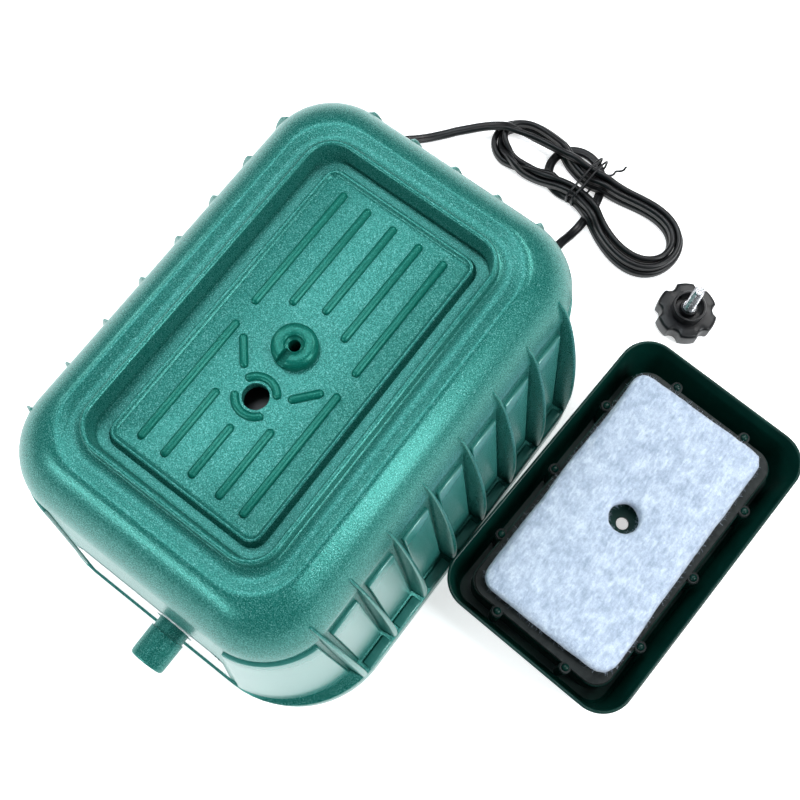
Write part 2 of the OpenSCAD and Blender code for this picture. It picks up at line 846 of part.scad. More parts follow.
// Two-lobed outline that the turns of the hank fill, waisted at the tie
module hank_outline(grow) {
    hull() {
        translate([-22, 208]) circle(15 + grow, $fn = 32);
        translate([tie_x, 206]) circle(10 + grow, $fn = 32);
    }
    hull() {
        translate([tie_x, 206]) circle(10 + grow, $fn = 32);
        translate([72, 199]) circle(23 + grow, $fn = 32);
    }
}

module cord_hank() {
    color(black_plastic) difference() {
        linear_extrude(hank_h) hank_outline(0);
        difference() {
            translate([tie_x - tie_w / 2, 180, -1]) cube([tie_w, 50, hank_h + 2]);
            translate([tie_x - tie_w, 197, tie_t]) cube([2 * tie_w, 18, hank_h - 2 * tie_t]);
        }
    }
}

module cord_tie() {
    color(black_plastic) difference() {
        translate([tie_x - tie_w / 2, 197 - tie_t, 0]) cube([tie_w, 18 + 2 * tie_t, hank_h]);
        translate([tie_x - tie_w, 197, tie_t]) cube([2 * tie_w, 18, hank_h - 2 * tie_t]);
    }
}

// Flat two-pin plug lying behind the pump, its cord end at plug_at
module at_plug() {
    translate([plug_at[0], plug_at[1], 0]) rotate([0, 0, plug_yaw]) children();
}

module plug_body() {
    color(black_plastic) at_plug() {
        translate([20, 0, 0]) linear_extrude(plug_h) polygon([
            [0, -7], [14, -8], [24, -plug_w / 2 + 2], [plug_l - 3, -plug_w / 2], [plug_l, -plug_w / 2 + 3],
            [plug_l, plug_w / 2 - 3], [plug_l - 3, plug_w / 2], [24, plug_w / 2 - 2], [14, 8], [0, 7]]);
        translate([0, 0, plug_h / 2]) rotate([0, 90, 0]) cylinder(r1 = 3.4, r2 = 5.4, h = 20.2);
    }
}

module plug_pins() {
    color(steel) at_plug() for (s = [-1, 1])
        translate([20 + plug_l, s * 9.3, plug_h / 2]) rotate([0, 90, 0]) cylinder(r = 2, h = 19);
}

// ---------- filter cover, laid upside down ----------

module at_cover() {
    translate([cover_at[0], cover_at[1], 0]) rotate([0, 0, cover_yaw]) children();
}

module cover_shell() {
    x = cover_w / 2;
    y = cover_l / 2;
    w = cover_wall;
    loft([
        ring(x - 9, y - 9, y - 9, 8, 0),
        ring(x - 6, y - 6, y - 6, 11, 1.2),
        ring(x - 4.2, y - 4.2, y - 4.2, 13, 5),
        ring(x, y, y, 17, cover_h - 0.8),
        ring(x - 0.6, y - 0.6, y - 0.6, 16.4, cover_h),
        ring(x - w + 0.4, y - w + 0.4, y - w + 0.4, 15.4, cover_h),
        ring(x - w, y - w, y - w, 15, cover_h - 0.6),
        ring(x - w - 4, y - w - 4, y - w - 4, 11, 6),
        ring(x - w - 6, y - w - 6, y - w - 6, 9, 2.6)]);
}

module filter_cover() {
    color(cover_green) at_cover() difference() {
        union() {
            cover_shell();
            difference() {
                translate([0, 0, 2]) rounded_plate(inner_x, inner_y, 10, gasket_z - 2);
                translate([0, 0, 1]) rounded_plate(inner_x - 2.2, inner_y - 2.2, 8, gasket_z);
            }
            cylinder(r = dish_r + 2.5, h = gasket_z);
            cover_pegs(3.2, 2, gasket_z);
            cover_pegs(1, gasket_z - 1, gasket_z + gasket_sheet + 1.6);
        }
        translate([0, 0, -1]) cylinder(r = dish_r, h = dish_depth + 1);
        translate([0, 0, -1]) cylinder(r = 3.2, h = gasket_z + 2);
    }
}

module cover_pegs(r, z0, z1) {
    for (x = peg_x, y = peg_ys)
        translate([x, y, z0]) cylinder(r = r, h = z1 - z0, $fn = 24);
    for (x = peg_end_xs, s = [-1, 1])
        translate([x, s * (inner_y + 0.5), z0]) cylinder(r = r, h = z1 - z0, $fn = 24);
}

module filter_gasket() {
    color(grey_plastic) at_cover() translate([0, 0, gasket_z]) difference() {
        union() {
            rounded_plate(sheet_x, sheet_y, 10, gasket_sheet);
            cover_pegs(3, 0, gasket_sheet);
        }
        translate([0, 0, -1]) rounded_plate(sheet_x - 9, sheet_y - 9, 6, gasket_sheet + 2);
        cover_pegs(1 + gap, -1, gasket_sheet + 1);
    }
}

module filter_pad() {
    color(felt_white) at_cover() translate([pad_at[0], pad_at[1], gasket_z + gasket_sheet])
        rotate([0, 0, pad_yaw]) difference() {
            rounded_plate(pad_w / 2, pad_l / 2, 9, pad_t);
            translate([0, 0, -1]) cylinder(r = pad_hole_d / 2, h = pad_t + 2);
        }
}

// ---------- knob, upside down ----------

module knob_grip() {
    color(black_plastic) translate([knob_at[0], knob_at[1], 0]) difference() {
        union() {
            linear_extrude(knob_h) difference() {
                circle(knob_r);
                for (k = [0:5])
                    rotate([0, 0, 60 * k + 36]) translate([knob_r + 1.8, 0]) circle(4.2);
            }
            cylinder(r = 9, h = knob_h + collar_h);
        }
        translate([0, 0, 4]) cylinder(r = stud_r + gap, h = knob_h + collar_h);
        difference() {
            translate([0, 0, knob_h + 1]) cylinder(r = 7.4, h = collar_h);
            translate([0, 0, knob_h]) cylinder(r = 5, h = collar_h + 2);
        }
    }
}

module knob_stud() {
    color(steel) translate([knob_at[0], knob_at[1], 4]) cylinder(r = stud_r, h = stud_top - 4);
}

upper_housing();
base_casting();
base_gasket();
rubber_feet();
base_screws();
side_label();
outlet_spigot();
outlet_hose();
air_tank();
tank_screws();
front_head_hose();
rear_head_hose();
motor_frame();
rubber_isolators();
isolator_screws();
left_stator_core();
right_stator_core();
left_bobbin();
right_bobbin();
left_winding();
right_winding();
armature_shaft();
magnet_carrier();
drive_magnets();
diaphragm_plates();
shaft_nuts();
front_diaphragm();
rear_diaphragm();
front_chamber();
rear_chamber();
front_valve_plate();
rear_valve_plate();
head_gaskets();
front_intake_flap();
front_exhaust_flap();
rear_intake_flap();
rear_exhaust_flap();
front_head_cover();
rear_head_cover();
head_screws();
terminal_block();
coil_leads();
cord_inner_end();
cord_grip();
cord_tube_near_pump();
cord_hank();
cord_tie();
cord_tube_to_plug();
plug_body();
plug_pins();
filter_cover();
filter_gasket();
filter_pad();
knob_grip();
knob_stud();
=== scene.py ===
"""Looks of a diaphragm air pump with its filter cover off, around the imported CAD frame.

Shapes are drawn in millimetres, as in the CAD source, and made in metres. The cord is laid in metres.
"""

import random
from math import acos, asin, copysign, cos, exp, hypot, pi, radians, sin, sqrt

import bmesh
import bpy
from mathutils import Matrix, Vector, kdtree, noise


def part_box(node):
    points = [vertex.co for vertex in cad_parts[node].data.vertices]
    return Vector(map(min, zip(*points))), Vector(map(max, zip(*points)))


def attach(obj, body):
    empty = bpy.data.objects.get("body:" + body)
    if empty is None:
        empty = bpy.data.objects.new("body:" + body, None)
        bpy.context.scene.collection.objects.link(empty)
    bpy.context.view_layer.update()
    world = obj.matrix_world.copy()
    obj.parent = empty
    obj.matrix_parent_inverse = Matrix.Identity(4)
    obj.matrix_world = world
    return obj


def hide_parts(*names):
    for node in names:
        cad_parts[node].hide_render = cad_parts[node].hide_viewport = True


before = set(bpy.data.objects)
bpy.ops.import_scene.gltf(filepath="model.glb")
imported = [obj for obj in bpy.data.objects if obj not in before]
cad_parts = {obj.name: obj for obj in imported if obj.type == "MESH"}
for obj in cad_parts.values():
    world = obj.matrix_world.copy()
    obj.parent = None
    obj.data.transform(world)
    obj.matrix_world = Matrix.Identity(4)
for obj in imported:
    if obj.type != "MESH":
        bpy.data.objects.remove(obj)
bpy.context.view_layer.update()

MM = 0.001
UP = Vector((0, 0, 1))


def centre_of(node):
    """Middle of a CAD node's box, in millimetres."""
    lo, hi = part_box(node)
    return (lo + hi) / 2 / MM


def add_object(name, data):
    thing = bpy.data.objects.new(name, data)
    bpy.context.scene.collection.objects.link(thing)
    return thing


# ---------- camera ----------

EYE = Vector((0.1329, -0.0900, 0.5921))
CAMERA_RIGHT = Vector((0.79615, 0.60482, -0.01831))
CAMERA_UP = Vector((-0.57619, 0.76702, 0.28229))
LENS = 50.62
SENSOR = 36


def make_camera():
    data = bpy.data.cameras.new("camera")
    data.lens = LENS
    data.sensor_width = SENSOR
    data.clip_start, data.clip_end = 0.01, 20
    camera = add_object("camera", data)
    back = CAMERA_RIGHT.cross(CAMERA_UP)
    turn = Matrix((CAMERA_RIGHT, CAMERA_UP, back)).transposed()
    camera.matrix_world = Matrix.Translation(EYE) @ turn.to_4x4()
    bpy.context.scene.camera = camera


make_camera()

# ---------- materials ----------


def srgb(r, g, b):
    """A colour given as 0 to 255 screen values."""
    linear = [c / 255 / 12.92 if c < 11 else ((c / 255 + 0.055) / 1.055) ** 2.4 for c in (r, g, b)]
    return (*linear, 1)


def set_shader(made, values):
    """Sets the main shader's inputs, each to a value or to another node's output."""
    inputs = made.node_tree.nodes["Principled BSDF"].inputs
    for name, value in values.items():
        if isinstance(value, bpy.types.NodeSocket):
            link(made, value, inputs[name])
        else:
            inputs[name].default_value = value


def new_material(name, colour, roughness, metallic=0.0, coat=0.0, specular=0.5, tint=(1, 1, 1, 1)):
    made = bpy.data.materials.new(name)
    made.use_nodes = True
    set_shader(made, {"Base Color": srgb(*colour), "Roughness": roughness, "Metallic": metallic,
                      "Coat Weight": coat, "Coat Roughness": 0.12, "Specular IOR Level": specular,
                      "Specular Tint": tint})
    return made


def add_node(made, kind, **values):
    node = made.node_tree.nodes.new(kind)
    for name, value in values.items():
        if name in node.inputs:
            node.inputs[name].default_value = value
        else:
            setattr(node, name, value)
    return node


def link(made, a, b):
    made.node_tree.links.new(a, b)


def grain(made, scale, detail=3.0, roughness=0.6, stretch=(1, 1, 1)):
    """Noise that is fixed to the object, with scale in cycles a metre."""
    place = add_node(made, "ShaderNodeTexCoord")
    mapping = add_node(made, "ShaderNodeMapping", Scale=stretch)
    texture = add_node(made, "ShaderNodeTexNoise", Scale=scale, Detail=detail, Roughness=roughness)
    link(made, place.outputs["Object"], mapping.inputs["Vector"])
    link(made, mapping.outputs["Vector"], texture.inputs["Vector"])
    return texture.outputs["Fac"]


def colour_by(made, value, stops):
    """Base colour through a ramp of (position, colour) stops, with 0 to 255 colours."""
    ramp = add_node(made, "ShaderNodeValToRGB")
    elements = ramp.color_ramp.elements
    for i, (position, colour) in enumerate(stops):
        element = elements[i] if i < 2 else elements.new(position)
        element.position = position
        element.color = srgb(*colour)
    link(made, value, ramp.inputs["Fac"])
    set_shader(made, {"Base Color": ramp.outputs["Color"]})


def bump_by(made, value, strength, distance_mm):
    bump = add_node(made, "ShaderNodeBump", Strength=strength, Distance=distance_mm * MM)
    link(made, value, bump.inputs["Height"])
    set_shader(made, {"Normal": bump.outputs["Normal"]})


def roughness_by(made, value, low, high):
    spread = add_node(made, "ShaderNodeMapRange")
    spread.inputs["To Min"].default_value = low
    spread.inputs["To Max"].default_value = high
    link(made, value, spread.inputs["Value"])
    set_shader(made, {"Roughness": spread.outputs["Result"]})


EDGE_GREEN = srgb(170, 220, 214)


def paint(name, base, roughness, shine, stops, spread, bump):
    """Hammertone paint: fine flecks of light and dark, with shine as (metallic, specular)."""
    metallic, specular = shine
    made = new_material(name, base, roughness, metallic=metallic, specular=specular, tint=EDGE_GREEN)
    fine = grain(made, 2200, detail=2.0, roughness=0.55)
    colour_by(made, fine, stops)
    roughness_by(made, fine, *spread)
    bump_by(made, grain(made, 1100, detail=2.0), *bump)
    return made


def hammertone_paint():
    stops = [(0.36, (10, 86, 76)), (0.56, (34, 110, 102)), (0.78, (120, 180, 176))]
    return paint("hammertone_paint", (12, 112, 98), 0.3, (0.27, 0.48), stops, (0.22, 0.34), (0.42, 0.22))


def shaded_raised_paint():
    """The same paint on small raised shapes, made darker than the plate as painted shade, since their curved
    sides catch little of the overhead reflection.
    """
    stops = [(0.36, (0, 80, 68)), (0.58, (4, 100, 87)), (0.8, (70, 150, 140))]
    return paint("shaded_raised_paint", (6, 100, 86), 0.34, (0.25, 0.5), stops, (0.27, 0.4), (0.3, 0.2))


def smooth_paint_painted_reflection():
    """The same paint on the flat wall panels, where it has flowed out glossy; its base colour is lightened to
    grey-green by a painted reflection of the white surroundings.
    """
    made = new_material("smooth_paint_painted_reflection", (50, 122, 114), 0.26, metallic=0.1, specular=0.5)
    tones(made, grain(made, 300), (46, 118, 110), (56, 128, 120))
    bump_by(made, grain(made, 120), 0.04, 0.3)
    return made


def tones(made, value, dark, light):
    """Two close tones blended by a noise value."""
    colour_by(made, value, [(0.3, dark), (0.7, light)])


def moulding(name, base, dark, light, roughness, specular, grains, bump, spread=None):
    """Moulded plastic or rubber: two close tones under a fine bump, with their two grains."""
    made = new_material(name, base, roughness, specular=specular)
    slow = grain(made, grains[0])
    tones(made, slow, dark, light)
    if spread:
        roughness_by(made, slow, *spread)
    bump_by(made, grain(made, grains[1]), *bump)
    return made


def cover_plastic():
    return moulding("cover_plastic", (5, 46, 39), (3, 38, 33), (6, 52, 44), 0.3, 0.25, (45, 900), (0.08, 0.2),
                    (0.26, 0.36))


def black_plastic():
    return moulding("satin_plastic", (10, 11, 13), (6, 7, 9), (14, 15, 18), 0.34, 0.35, (120, 1500),
                    (0.15, 0.15), (0.27, 0.44))


def rubber():
    return moulding("soft_rubber", (26, 26, 28), (20, 20, 22), (36, 36, 38), 0.62, 0.5, (800, 800),
                    (0.3, 0.2))


def gasket_rubber():
    return moulding("gasket_rubber", (40, 44, 44), (32, 36, 36), (50, 54, 53), 0.6, 0.2, (260, 1400),
                    (0.3, 0.2))


def cord_plastic():
    made = new_material("cord_plastic", (9, 10, 12), 0.36, specular=0.35)
    tones(made, grain(made, 300), (6, 7, 8), (14, 15, 18))
    bump_by(made, grain(made, 900, stretch=(1, 1, 2)), 0.2, 0.15)
    return made


def maths(made, operation, *values):
    """Result of one math node, whose values are numbers or other nodes' outputs."""
    node = add_node(made, "ShaderNodeMath", operation=operation)
    for socket, value in zip(node.inputs, values):
        if isinstance(value, (int, float)):
            socket.default_value = value
        else:
            link(made, value, socket)
    return node.outputs[0]


def mixed(made, a, b, share):
    """Two noise values in one, with b's share from 0 to 1."""
    return maths(made, "MULTIPLY_ADD", b, share, maths(made, "MULTIPLY", a, 1 - share))


def felt():
    """Pale blue-white felt: soft blotches under short fibres."""
    made = new_material("felt_fibre", (214, 222, 236), 0.9, specular=0.2)
    set_shader(made, {"Sheen Weight": 0.35, "Sheen Roughness": 0.6})
    mottle = grain(made, 130, detail=9.0, roughness=0.8)
    fibres = grain(made, 800, detail=4.0, stretch=(1, 0.35, 1))
    worn = mixed(made, mottle, fibres, 0.35)
    stops = [(0.4, (156, 172, 194)), (0.5, (184, 198, 218)), (0.6, (214, 226, 240))]
    colour_by(made, worn, stops)
    bump_by(made, mixed(made, fibres, grain(made, 900, detail=6.0, roughness=0.75), 0.5), 0.9, 1.2)
    return made


def metal(name, colour, roughness, brushed=1):
    made = new_material(name, colour, roughness, metallic=1.0)
    fine = grain(made, 500, stretch=(1, 1, brushed))
    tones(made, fine, [0.82 * c for c in colour], colour)
    roughness_by(made, fine, roughness - 0.06, roughness + 0.1)
    bump_by(made, fine, 0.15, 0.1)
    return made


def moulded(name, colour, roughness):
    darker = [0.88 * c for c in colour]
    return moulding(name, colour, darker, colour, roughness, 0.5, (300, 1200), (0.15, 0.15))


LABEL_INSET = 2.2
LABEL_LINE = 0.6


def label_vinyl():
    """Blank white label with one thin dark line round it."""
    made = new_material("label_vinyl", (232, 235, 236), 0.28, coat=0.3)
    lo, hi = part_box("side_label")
    place = add_node(made, "ShaderNodeTexCoord")
    split = add_node(made, "ShaderNodeSeparateXYZ")
    link(made, place.outputs["Object"], split.inputs["Vector"])
    edges = []
    for axis, low, high in (("X", lo.x, hi.x), ("Z", lo.z, hi.z)):
        half = (high - low) / 2 - LABEL_INSET * MM
        from_middle = maths(made, "SUBTRACT", split.outputs[axis], (low + high) / 2)
        edges.append(maths(made, "SUBTRACT", maths(made, "ABSOLUTE", from_middle), half))
    off_line = maths(made, "ABSOLUTE", maths(made, "MAXIMUM", *edges))
    on_line = maths(made, "LESS_THAN", off_line, LABEL_LINE / 2 * MM)
    colour_by(made, on_line, [(0.0, (232, 235, 236)), (1.0, (30, 34, 36))])
    bump_by(made, grain(made, 400), 0.05, 0.1)
    return made


def coil_wire():
    made = new_material("coil_wire", (190, 104, 52), 0.3, metallic=0.9)
    place = add_node(made, "ShaderNodeTexCoord")
    turns = add_node(made, "ShaderNodeTexWave", Scale=300.0, Distortion=0.4)
    turns.bands_direction = "X"
    link(made, place.outputs["Object"], turns.inputs["Vector"])
    # The turns are darker in the grooves between them and lighter on their crowns: painted shade and painted
    # highlight.
    colour_by(made, turns.outputs["Fac"], [(0.1, (120, 58, 28)), (0.6, (204, 118, 62))])
    bump_by(made, turns.outputs["Fac"], 0.6, 0.3)
    return made


PAINT = hammertone_paint()
SHADED_RAISED_PAINT = shaded_raised_paint()
PANEL_SHEEN_PAINT = smooth_paint_painted_reflection()
COVER = cover_plastic()
BLACK = black_plastic()
CORD = cord_plastic()
RUBBER = rubber()
GASKET = gasket_rubber()
FELT = felt()
STEEL = metal("screw_steel", (196, 198, 202), 0.24)
LAMINATION = metal("lamination_steel", (112, 114, 120), 0.4, brushed=8)
ALLOY = metal("frame_alloy", (158, 162, 166), 0.42)
CREAM = moulded("bobbin_plastic", (214, 208, 190), 0.45)
GREY = moulded("grey_plastic", (90, 93, 98), 0.42)
RED = moulded("lead_insulation", (150, 34, 34), 0.4)
WIRE = coil_wire()
LABEL = label_vinyl()

# ---------- mesh helpers ----------


def mesh_object(name, verts, faces):
    """An object from millimetre points, with its faces turned outwards."""
    mesh = bpy.data.meshes.new(name)
    mesh.from_pydata([Vector(v) * MM for v in verts], [], faces)
    mesh.validate()
    work = bmesh.new()
    work.from_mesh(mesh)
    bmesh.ops.recalc_face_normals(work, faces=work.faces)
    work.to_mesh(mesh)
    work.free()
    return add_object(name, mesh)


def new_piece(name, verts, faces, made, body, slot, smooth=32):
    """A mesh piece on a CAD body."""
    piece = mesh_object(name, verts, faces)
    shade(piece, smooth)
    piece.data.materials.append(made)
    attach(piece, body)
    return piece


def shade(piece, angle):
    piece.data.polygons.foreach_set("use_smooth", [True] * len(piece.data.polygons))
    piece.data.set_sharp_from_angle(angle=radians(angle))


def apply_modifiers(piece):
    bpy.context.view_layer.update()
    graph = bpy.context.evaluated_depsgraph_get()
    mesh = bpy.data.meshes.new_from_object(piece.evaluated_get(graph))
    old = piece.data
    piece.modifiers.clear()
    piece.data = mesh
    bpy.data.meshes.remove(old)


def bevel(piece, width, segments=2, angle=32):
    """Rounds every edge that is sharper than angle, by width millimetres."""
    rounding = piece.modifiers.new("rounding", "BEVEL")
    rounding.width = width * MM
    rounding.segments = segments
    rounding.limit_method = "ANGLE"
    rounding.angle_limit = radians(angle)
    apply_modifiers(piece)
    shade(piece, angle)
    return piece


def cut(piece, cutters):
    """Takes closed shapes, given as (verts, faces), out of a piece."""
    for verts, faces in cutters:
        tool = mesh_object("cutter", verts, faces)
        away = piece.modifiers.new("cut", "BOOLEAN")
        away.object = tool
        away.solver = "EXACT"
        apply_modifiers(piece)
        used = tool.data
        bpy.data.objects.remove(tool)
        bpy.data.meshes.remove(used)
    return piece


def loft(rings, closed=False):
    """(verts, faces) of a solid through outlines with equally many points each."""
    n = len(rings[0])
    verts = [p for outline in rings for p in outline]
    faces = []
    last = len(rings) - (0 if closed else 1)
    for k in range(last):
        low, high = k * n, (k + 1) % len(rings) * n
        for i in range(n):
            j = (i + 1) % n
            faces.append((low + i, low + j, high + j, high + i))
    if not closed:
        faces.append(tuple(range(n))[::-1])
        faces.append(tuple((len(rings) - 1) * n + i for i in range(n)))
    return verts, faces


def ring(x, front, rear, r, z, steps=14):
    """Rounded rectangle at height z, with a front and a rear half length."""
    points = []
    for corner in range(4):
        cx = x - r if corner in (0, 3) else r - x
        cy = rear - r if corner < 2 else r - front
        for s in range(steps + 1):
            a = radians(90 * corner + 90 * s / steps)
            points.append((cx + r * cos(a), cy + r * sin(a), z))
    return points


def even_ring(x, y, r, z, steps=14):
    return ring(x, y, y, r, z, steps)


def nested(x, y, r, stages, steps=14):
    """Rounded outlines inside each other, one for each (inset, height)."""
    return [even_ring(x - inset, y - inset, r - inset, z, steps) for inset, z in stages]


def angles(sides):
    return [2 * pi * i / sides for i in range(sides)]


def circle(r, z, sides=48):
    """A round outline at height z."""
    return [(r * cos(a), r * sin(a), z) for a in angles(sides)]


def round_about(middle, side, other, r, sides=12):
    """A round outline about middle, in the plane of two directions."""
    return [middle + side * r * cos(a) + other * r * sin(a) for a in angles(sides)]


def revolve(profile, sides=48):
    """Closed ring solid about Z from a closed profile of (radius, height) points."""
    return loft([circle(r, z, sides) for r, z in profile], closed=True)


def moved(shape, at=(0, 0, 0), yaw=0.0, tilt=None):
    """A (verts, faces) shape turned, then moved."""
    verts, faces = shape
    turn = Matrix.Rotation(radians(yaw), 3, "Z")
    if tilt is not None:
        turn = turn @ tilt
    return [turn @ Vector(v) + Vector(at) for v in verts], faces


def joined(shapes):
    verts, faces = [], []
    for some_verts, some_faces in shapes:
        start = len(verts)
        verts += list(some_verts)
        faces += [tuple(start + i for i in face) for face in some_faces]
    return verts, faces


def block(x0, x1, y0, y1, z0, z1):
    return loft([[(x0, y0, z), (x1, y0, z), (x1, y1, z), (x0, y1, z)] for z in (z0, z1)])


def spline(points, step):
    """Evenly spaced points on one smooth curve through the given ones."""
    dense = []
    last = len(points) - 1
    for i in range(last):
        p0, p1, p2, p3 = (Vector(points[min(max(i + k, 0), last)]) for k in (-1, 0, 1, 2))
        for s in range(12):
            t = s / 12
            dense.append(0.5 * (2 * p1 + (p2 - p0) * t + (2 * p0 - 5 * p1 + 4 * p2 - p3) * t * t
                                + (3 * p1 - p0 - 3 * p2 + p3) * t ** 3))
    dense.append(Vector(points[-1]))
    total = sum((b - a).length for a, b in zip(dense, dense[1:]))
    count = max(2, round(total / step))
    even, walked, want = [dense[0]], 0.0, total / count
    for a, b in zip(dense, dense[1:]):
        length = (b - a).length
        while walked + length >= want * len(even) - 1e-12 and len(even) < count:
            even.append(a.lerp(b, (want * len(even) - walked) / length))
        walked += length
    return even + [dense[-1]]


def sweep(path, outline_at, upright=True):
    """Tube along a path. outline_at(i) gives the (across, up) points of its outline there."""
    rings = []
    side = None
    for i, point in enumerate(path):
        ahead = (path[min(i + 1, len(path) - 1)] - path[max(i - 1, 0)]).normalized()
        if upright or side is None:
            reference = UP if abs(ahead.z) < 0.95 else Vector((1, 0, 0))
            side = reference.cross(ahead).normalized()
        else:
            side = (side - ahead * side.dot(ahead)).normalized()
        up = ahead.cross(side)
        rings.append([point + side * across + up * rise for across, rise in outline_at(i)])
    return loft(rings)


# ---------- mains cord ----------

CORD_W = 5.4
CORD_T = 3.4


def metres(route):
    return [tuple(value / 1000 for value in point) for point in route]


# From the grip down to the floor and into the hank, as in the CAD source
NEAR_RUN = metres([
    (37, 156, 11), (37, 157.5, 11), (37, 160.5, 10.8), (37, 163.5, 10.3), (37.1, 166.5, 9.4),
    (37.2, 169.2, 8.1), (37.4, 171.9, 6.5), (37.6, 174.6, 4.8), (37.8, 177.3, 3.5), (38, 180.3, 2.5),
    (38.3, 183.3, 2), (38.5, 186.3, 1.8), (38.6, 191, 1.8)])
# Under the hank, round behind it and back to its waist
LEAD_IN = metres([
    (38.6, 198, 1.8), (37.8, 206, 1.8), (35.6, 213.5, 1.8), (31.5, 220.5, 2.2), (25.2, 225.8, 2.5),
    (17.2, 227.8, 2.5), (10.1, 226.2, 2.3), (4.3, 221.8, 2), (1, 215.3, 1.8), (0.7, 208.1, 1.8),
    (3.4, 201.4, 1.9), (8.8, 196.5, 2.1), (14.9, 194.4, 2.4)])
# One turn of the hank from its waist, as wide and as narrow as the turns get
WIDE_TURN = metres([
    (27, 198.2), (40, 191.5), (54, 183.4), (69, 178.6), (83, 180.2), (91.6, 188.6), (94.2, 200),
    (91.8, 210.8), (83, 217.8), (69, 219.4), (52.5, 216.8), (39.2, 214.4), (27, 213.2), (15, 216.2),
    (4, 221), (-8, 224.4), (-20, 223), (-30.6, 217), (-36.2, 207.6), (-34, 198), (-25, 192.8),
    (-12, 192.4), (3, 194.6), (16, 196.8)])
NARROW_TURN = metres([
    (27, 202.2), (39.5, 197.6), (52.5, 190.6), (66, 186), (78.5, 186.2), (87.2, 192), (90.2, 200.6),
    (87.6, 208.6), (80, 214), (68, 215.6), (52, 212.8), (39, 209.8), (27, 208), (15, 211.6), (4, 216.8),
    (-8, 220.4), (-18.5, 220.2), (-27.4, 216.4), (-31.7, 208.4), (-28.6, 200), (-20.5, 196),
    (-9.5, 195.6), (3.5, 198.2), (15.5, 201.2)])
# How wide each turn is, and the height of its middle
TURNS = [(1.0, 0.00275), (0.1, 0.0082), (0.0, 0.00275), (1.0, 0.0082)]
# Last half turn over the others, then down to the plug
LAST_TURN = metres([
    (27, 198.4, 8.2), (40, 192.2, 8.2), (54, 184.2, 8.2), (69, 179.6, 8.2), (82.5, 181.2, 8.2),
    (90.8, 189.2, 8.2), (93.2, 200, 8.2), (90.8, 210.2, 8.2), (82.2, 217, 8.4), (69, 218.6, 8.6),
    (55.5, 217.2, 9.2), (44.4, 215.6, 10.4), (33, 214.6, 11.8), (19, 214.1, 12.8), (5.3, 213.4, 13.4),
    (-10, 211.8, 13.4), (-26, 209.5, 12.8)])
PLUG_RUN = metres([
    (-34, 207, 11.6), (-38.4, 205, 9.6), (-43, 202, 7.2), (-47.6, 198.2, 5), (-52, 193.8, 3.4),
    (-56.2, 189, 2.5), (-60.2, 184.2, 2.3), (-64.2, 179.2, 2.7), (-67.8, 174.6, 3.9), (-70.6, 171, 5.4),
    (-72.6, 168.6, 6.3), (-74, 166.7, 6.4)])
# Where turns climb over the lead-in that runs below them
CROSSINGS = metres([(38.3, 192), (37, 212), (2.5, 219)])
CLIMB = 0.0035
CLIMB_REACH = 0.010


def hank_turns():
    """The three full turns, each blended from the wide to the narrow one, climbing where they cross."""
    route = []
    per_turn = len(WIDE_TURN)
    for (share, height), (next_share, next_height) in zip(TURNS, TURNS[1:]):
        for i, (wide, narrow) in enumerate(zip(WIDE_TURN, NARROW_TURN)):
            late = max(0.0, (i / per_turn - 0.7) / 0.3)
            s = share + (next_share - share) * late
            x = narrow[0] + (wide[0] - narrow[0]) * s
            y = narrow[1] + (wide[1] - narrow[1]) * s
            z = height + (next_height - height) * late
            for cx, cy in CROSSINGS:
                far = hypot(x - cx, y - cy)
                z += CLIMB * exp(-(far / CLIMB_REACH) ** 2)
            route.append((x, y, z))
    return route


def twin_outline(roll):
    """Outline of a flat two-core cord: two round cores side by side, rolled about its length."""
    r = CORD_T / 2
    off = CORD_W / 2 - r
    points = []
    for side in (1, -1):
        for k in range(9):
            a = radians(-126 + 252 * k / 8)
            points.append((side * (off + r * cos(a)), side * r * sin(a)))
    c, s = cos(roll), sin(roll)
    return [((x * c - y * s) * MM, (x * s + y * c) * MM) for x, y in points]


def reach_at(roll):
    """Half width and half height of the cord, rolled about its length, in metres."""
    off = (CORD_W - CORD_T) / 2
    return (CORD_T / 2 + off * cos(roll)) * MM, (CORD_T / 2 + off * sin(roll)) * MM


SETTLE_STEPS = 160
NEIGHBOURS = 8
CLEARANCE = 1.08


def pushed_apart(path, reach):
    """How far each point has to move so that no strand passes through another."""
    tree = kdtree.KDTree(len(path))
    for i, point in enumerate(path):
        tree.insert(point, i)
    tree.balance()
    moves = []
    for i, point in enumerate(path):
        pushes = []
        for other, j, _ in tree.find_range(point, CORD_W * 1.05 * MM):
            if abs(i - j) <= NEIGHBOURS:
                continue
            wide, high = reach[i][0] + reach[j][0], reach[i][1] + reach[j][1]
            gap = point - other
            share = Vector((gap.x / wide, gap.y / wide, gap.z / high)).length
            if 0 < share < CLEARANCE:
                pushes.append(gap * (CLEARANCE / share - 1) * 0.8)
        moves.append(sum(pushes, Vector()) / len(pushes) if pushes else Vector())
    return moves


def settle(path, rolls, first, last):
    """Lets the strands between first and last push each other apart, stay smooth and rest on the floor."""
    reach = [reach_at(roll) for roll in rolls]
    plan = [point.copy() for point in path]
    for _ in range(SETTLE_STEPS):
        moves = pushed_apart(path, reach)
        before = [point.copy() for point in path]
        for i in range(first, last):
            middle = (before[i - 1] + before[i + 1]) / 2
            free = min(1.0, (i - first) / 8, (last - i) / 8)
            smooth = (middle - before[i]) * 0.2
            home = (plan[i] - before[i]) * 0.01
            path[i] += (moves[i] + smooth + home) * free
            path[i].z -= 0.00002 * free
            path[i].z = max(path[i].z, reach[i][1] + 0.1 * MM)


def nearest(path, point):
    return min(range(len(path)), key=lambda i: (path[i] - Vector(point)).length)


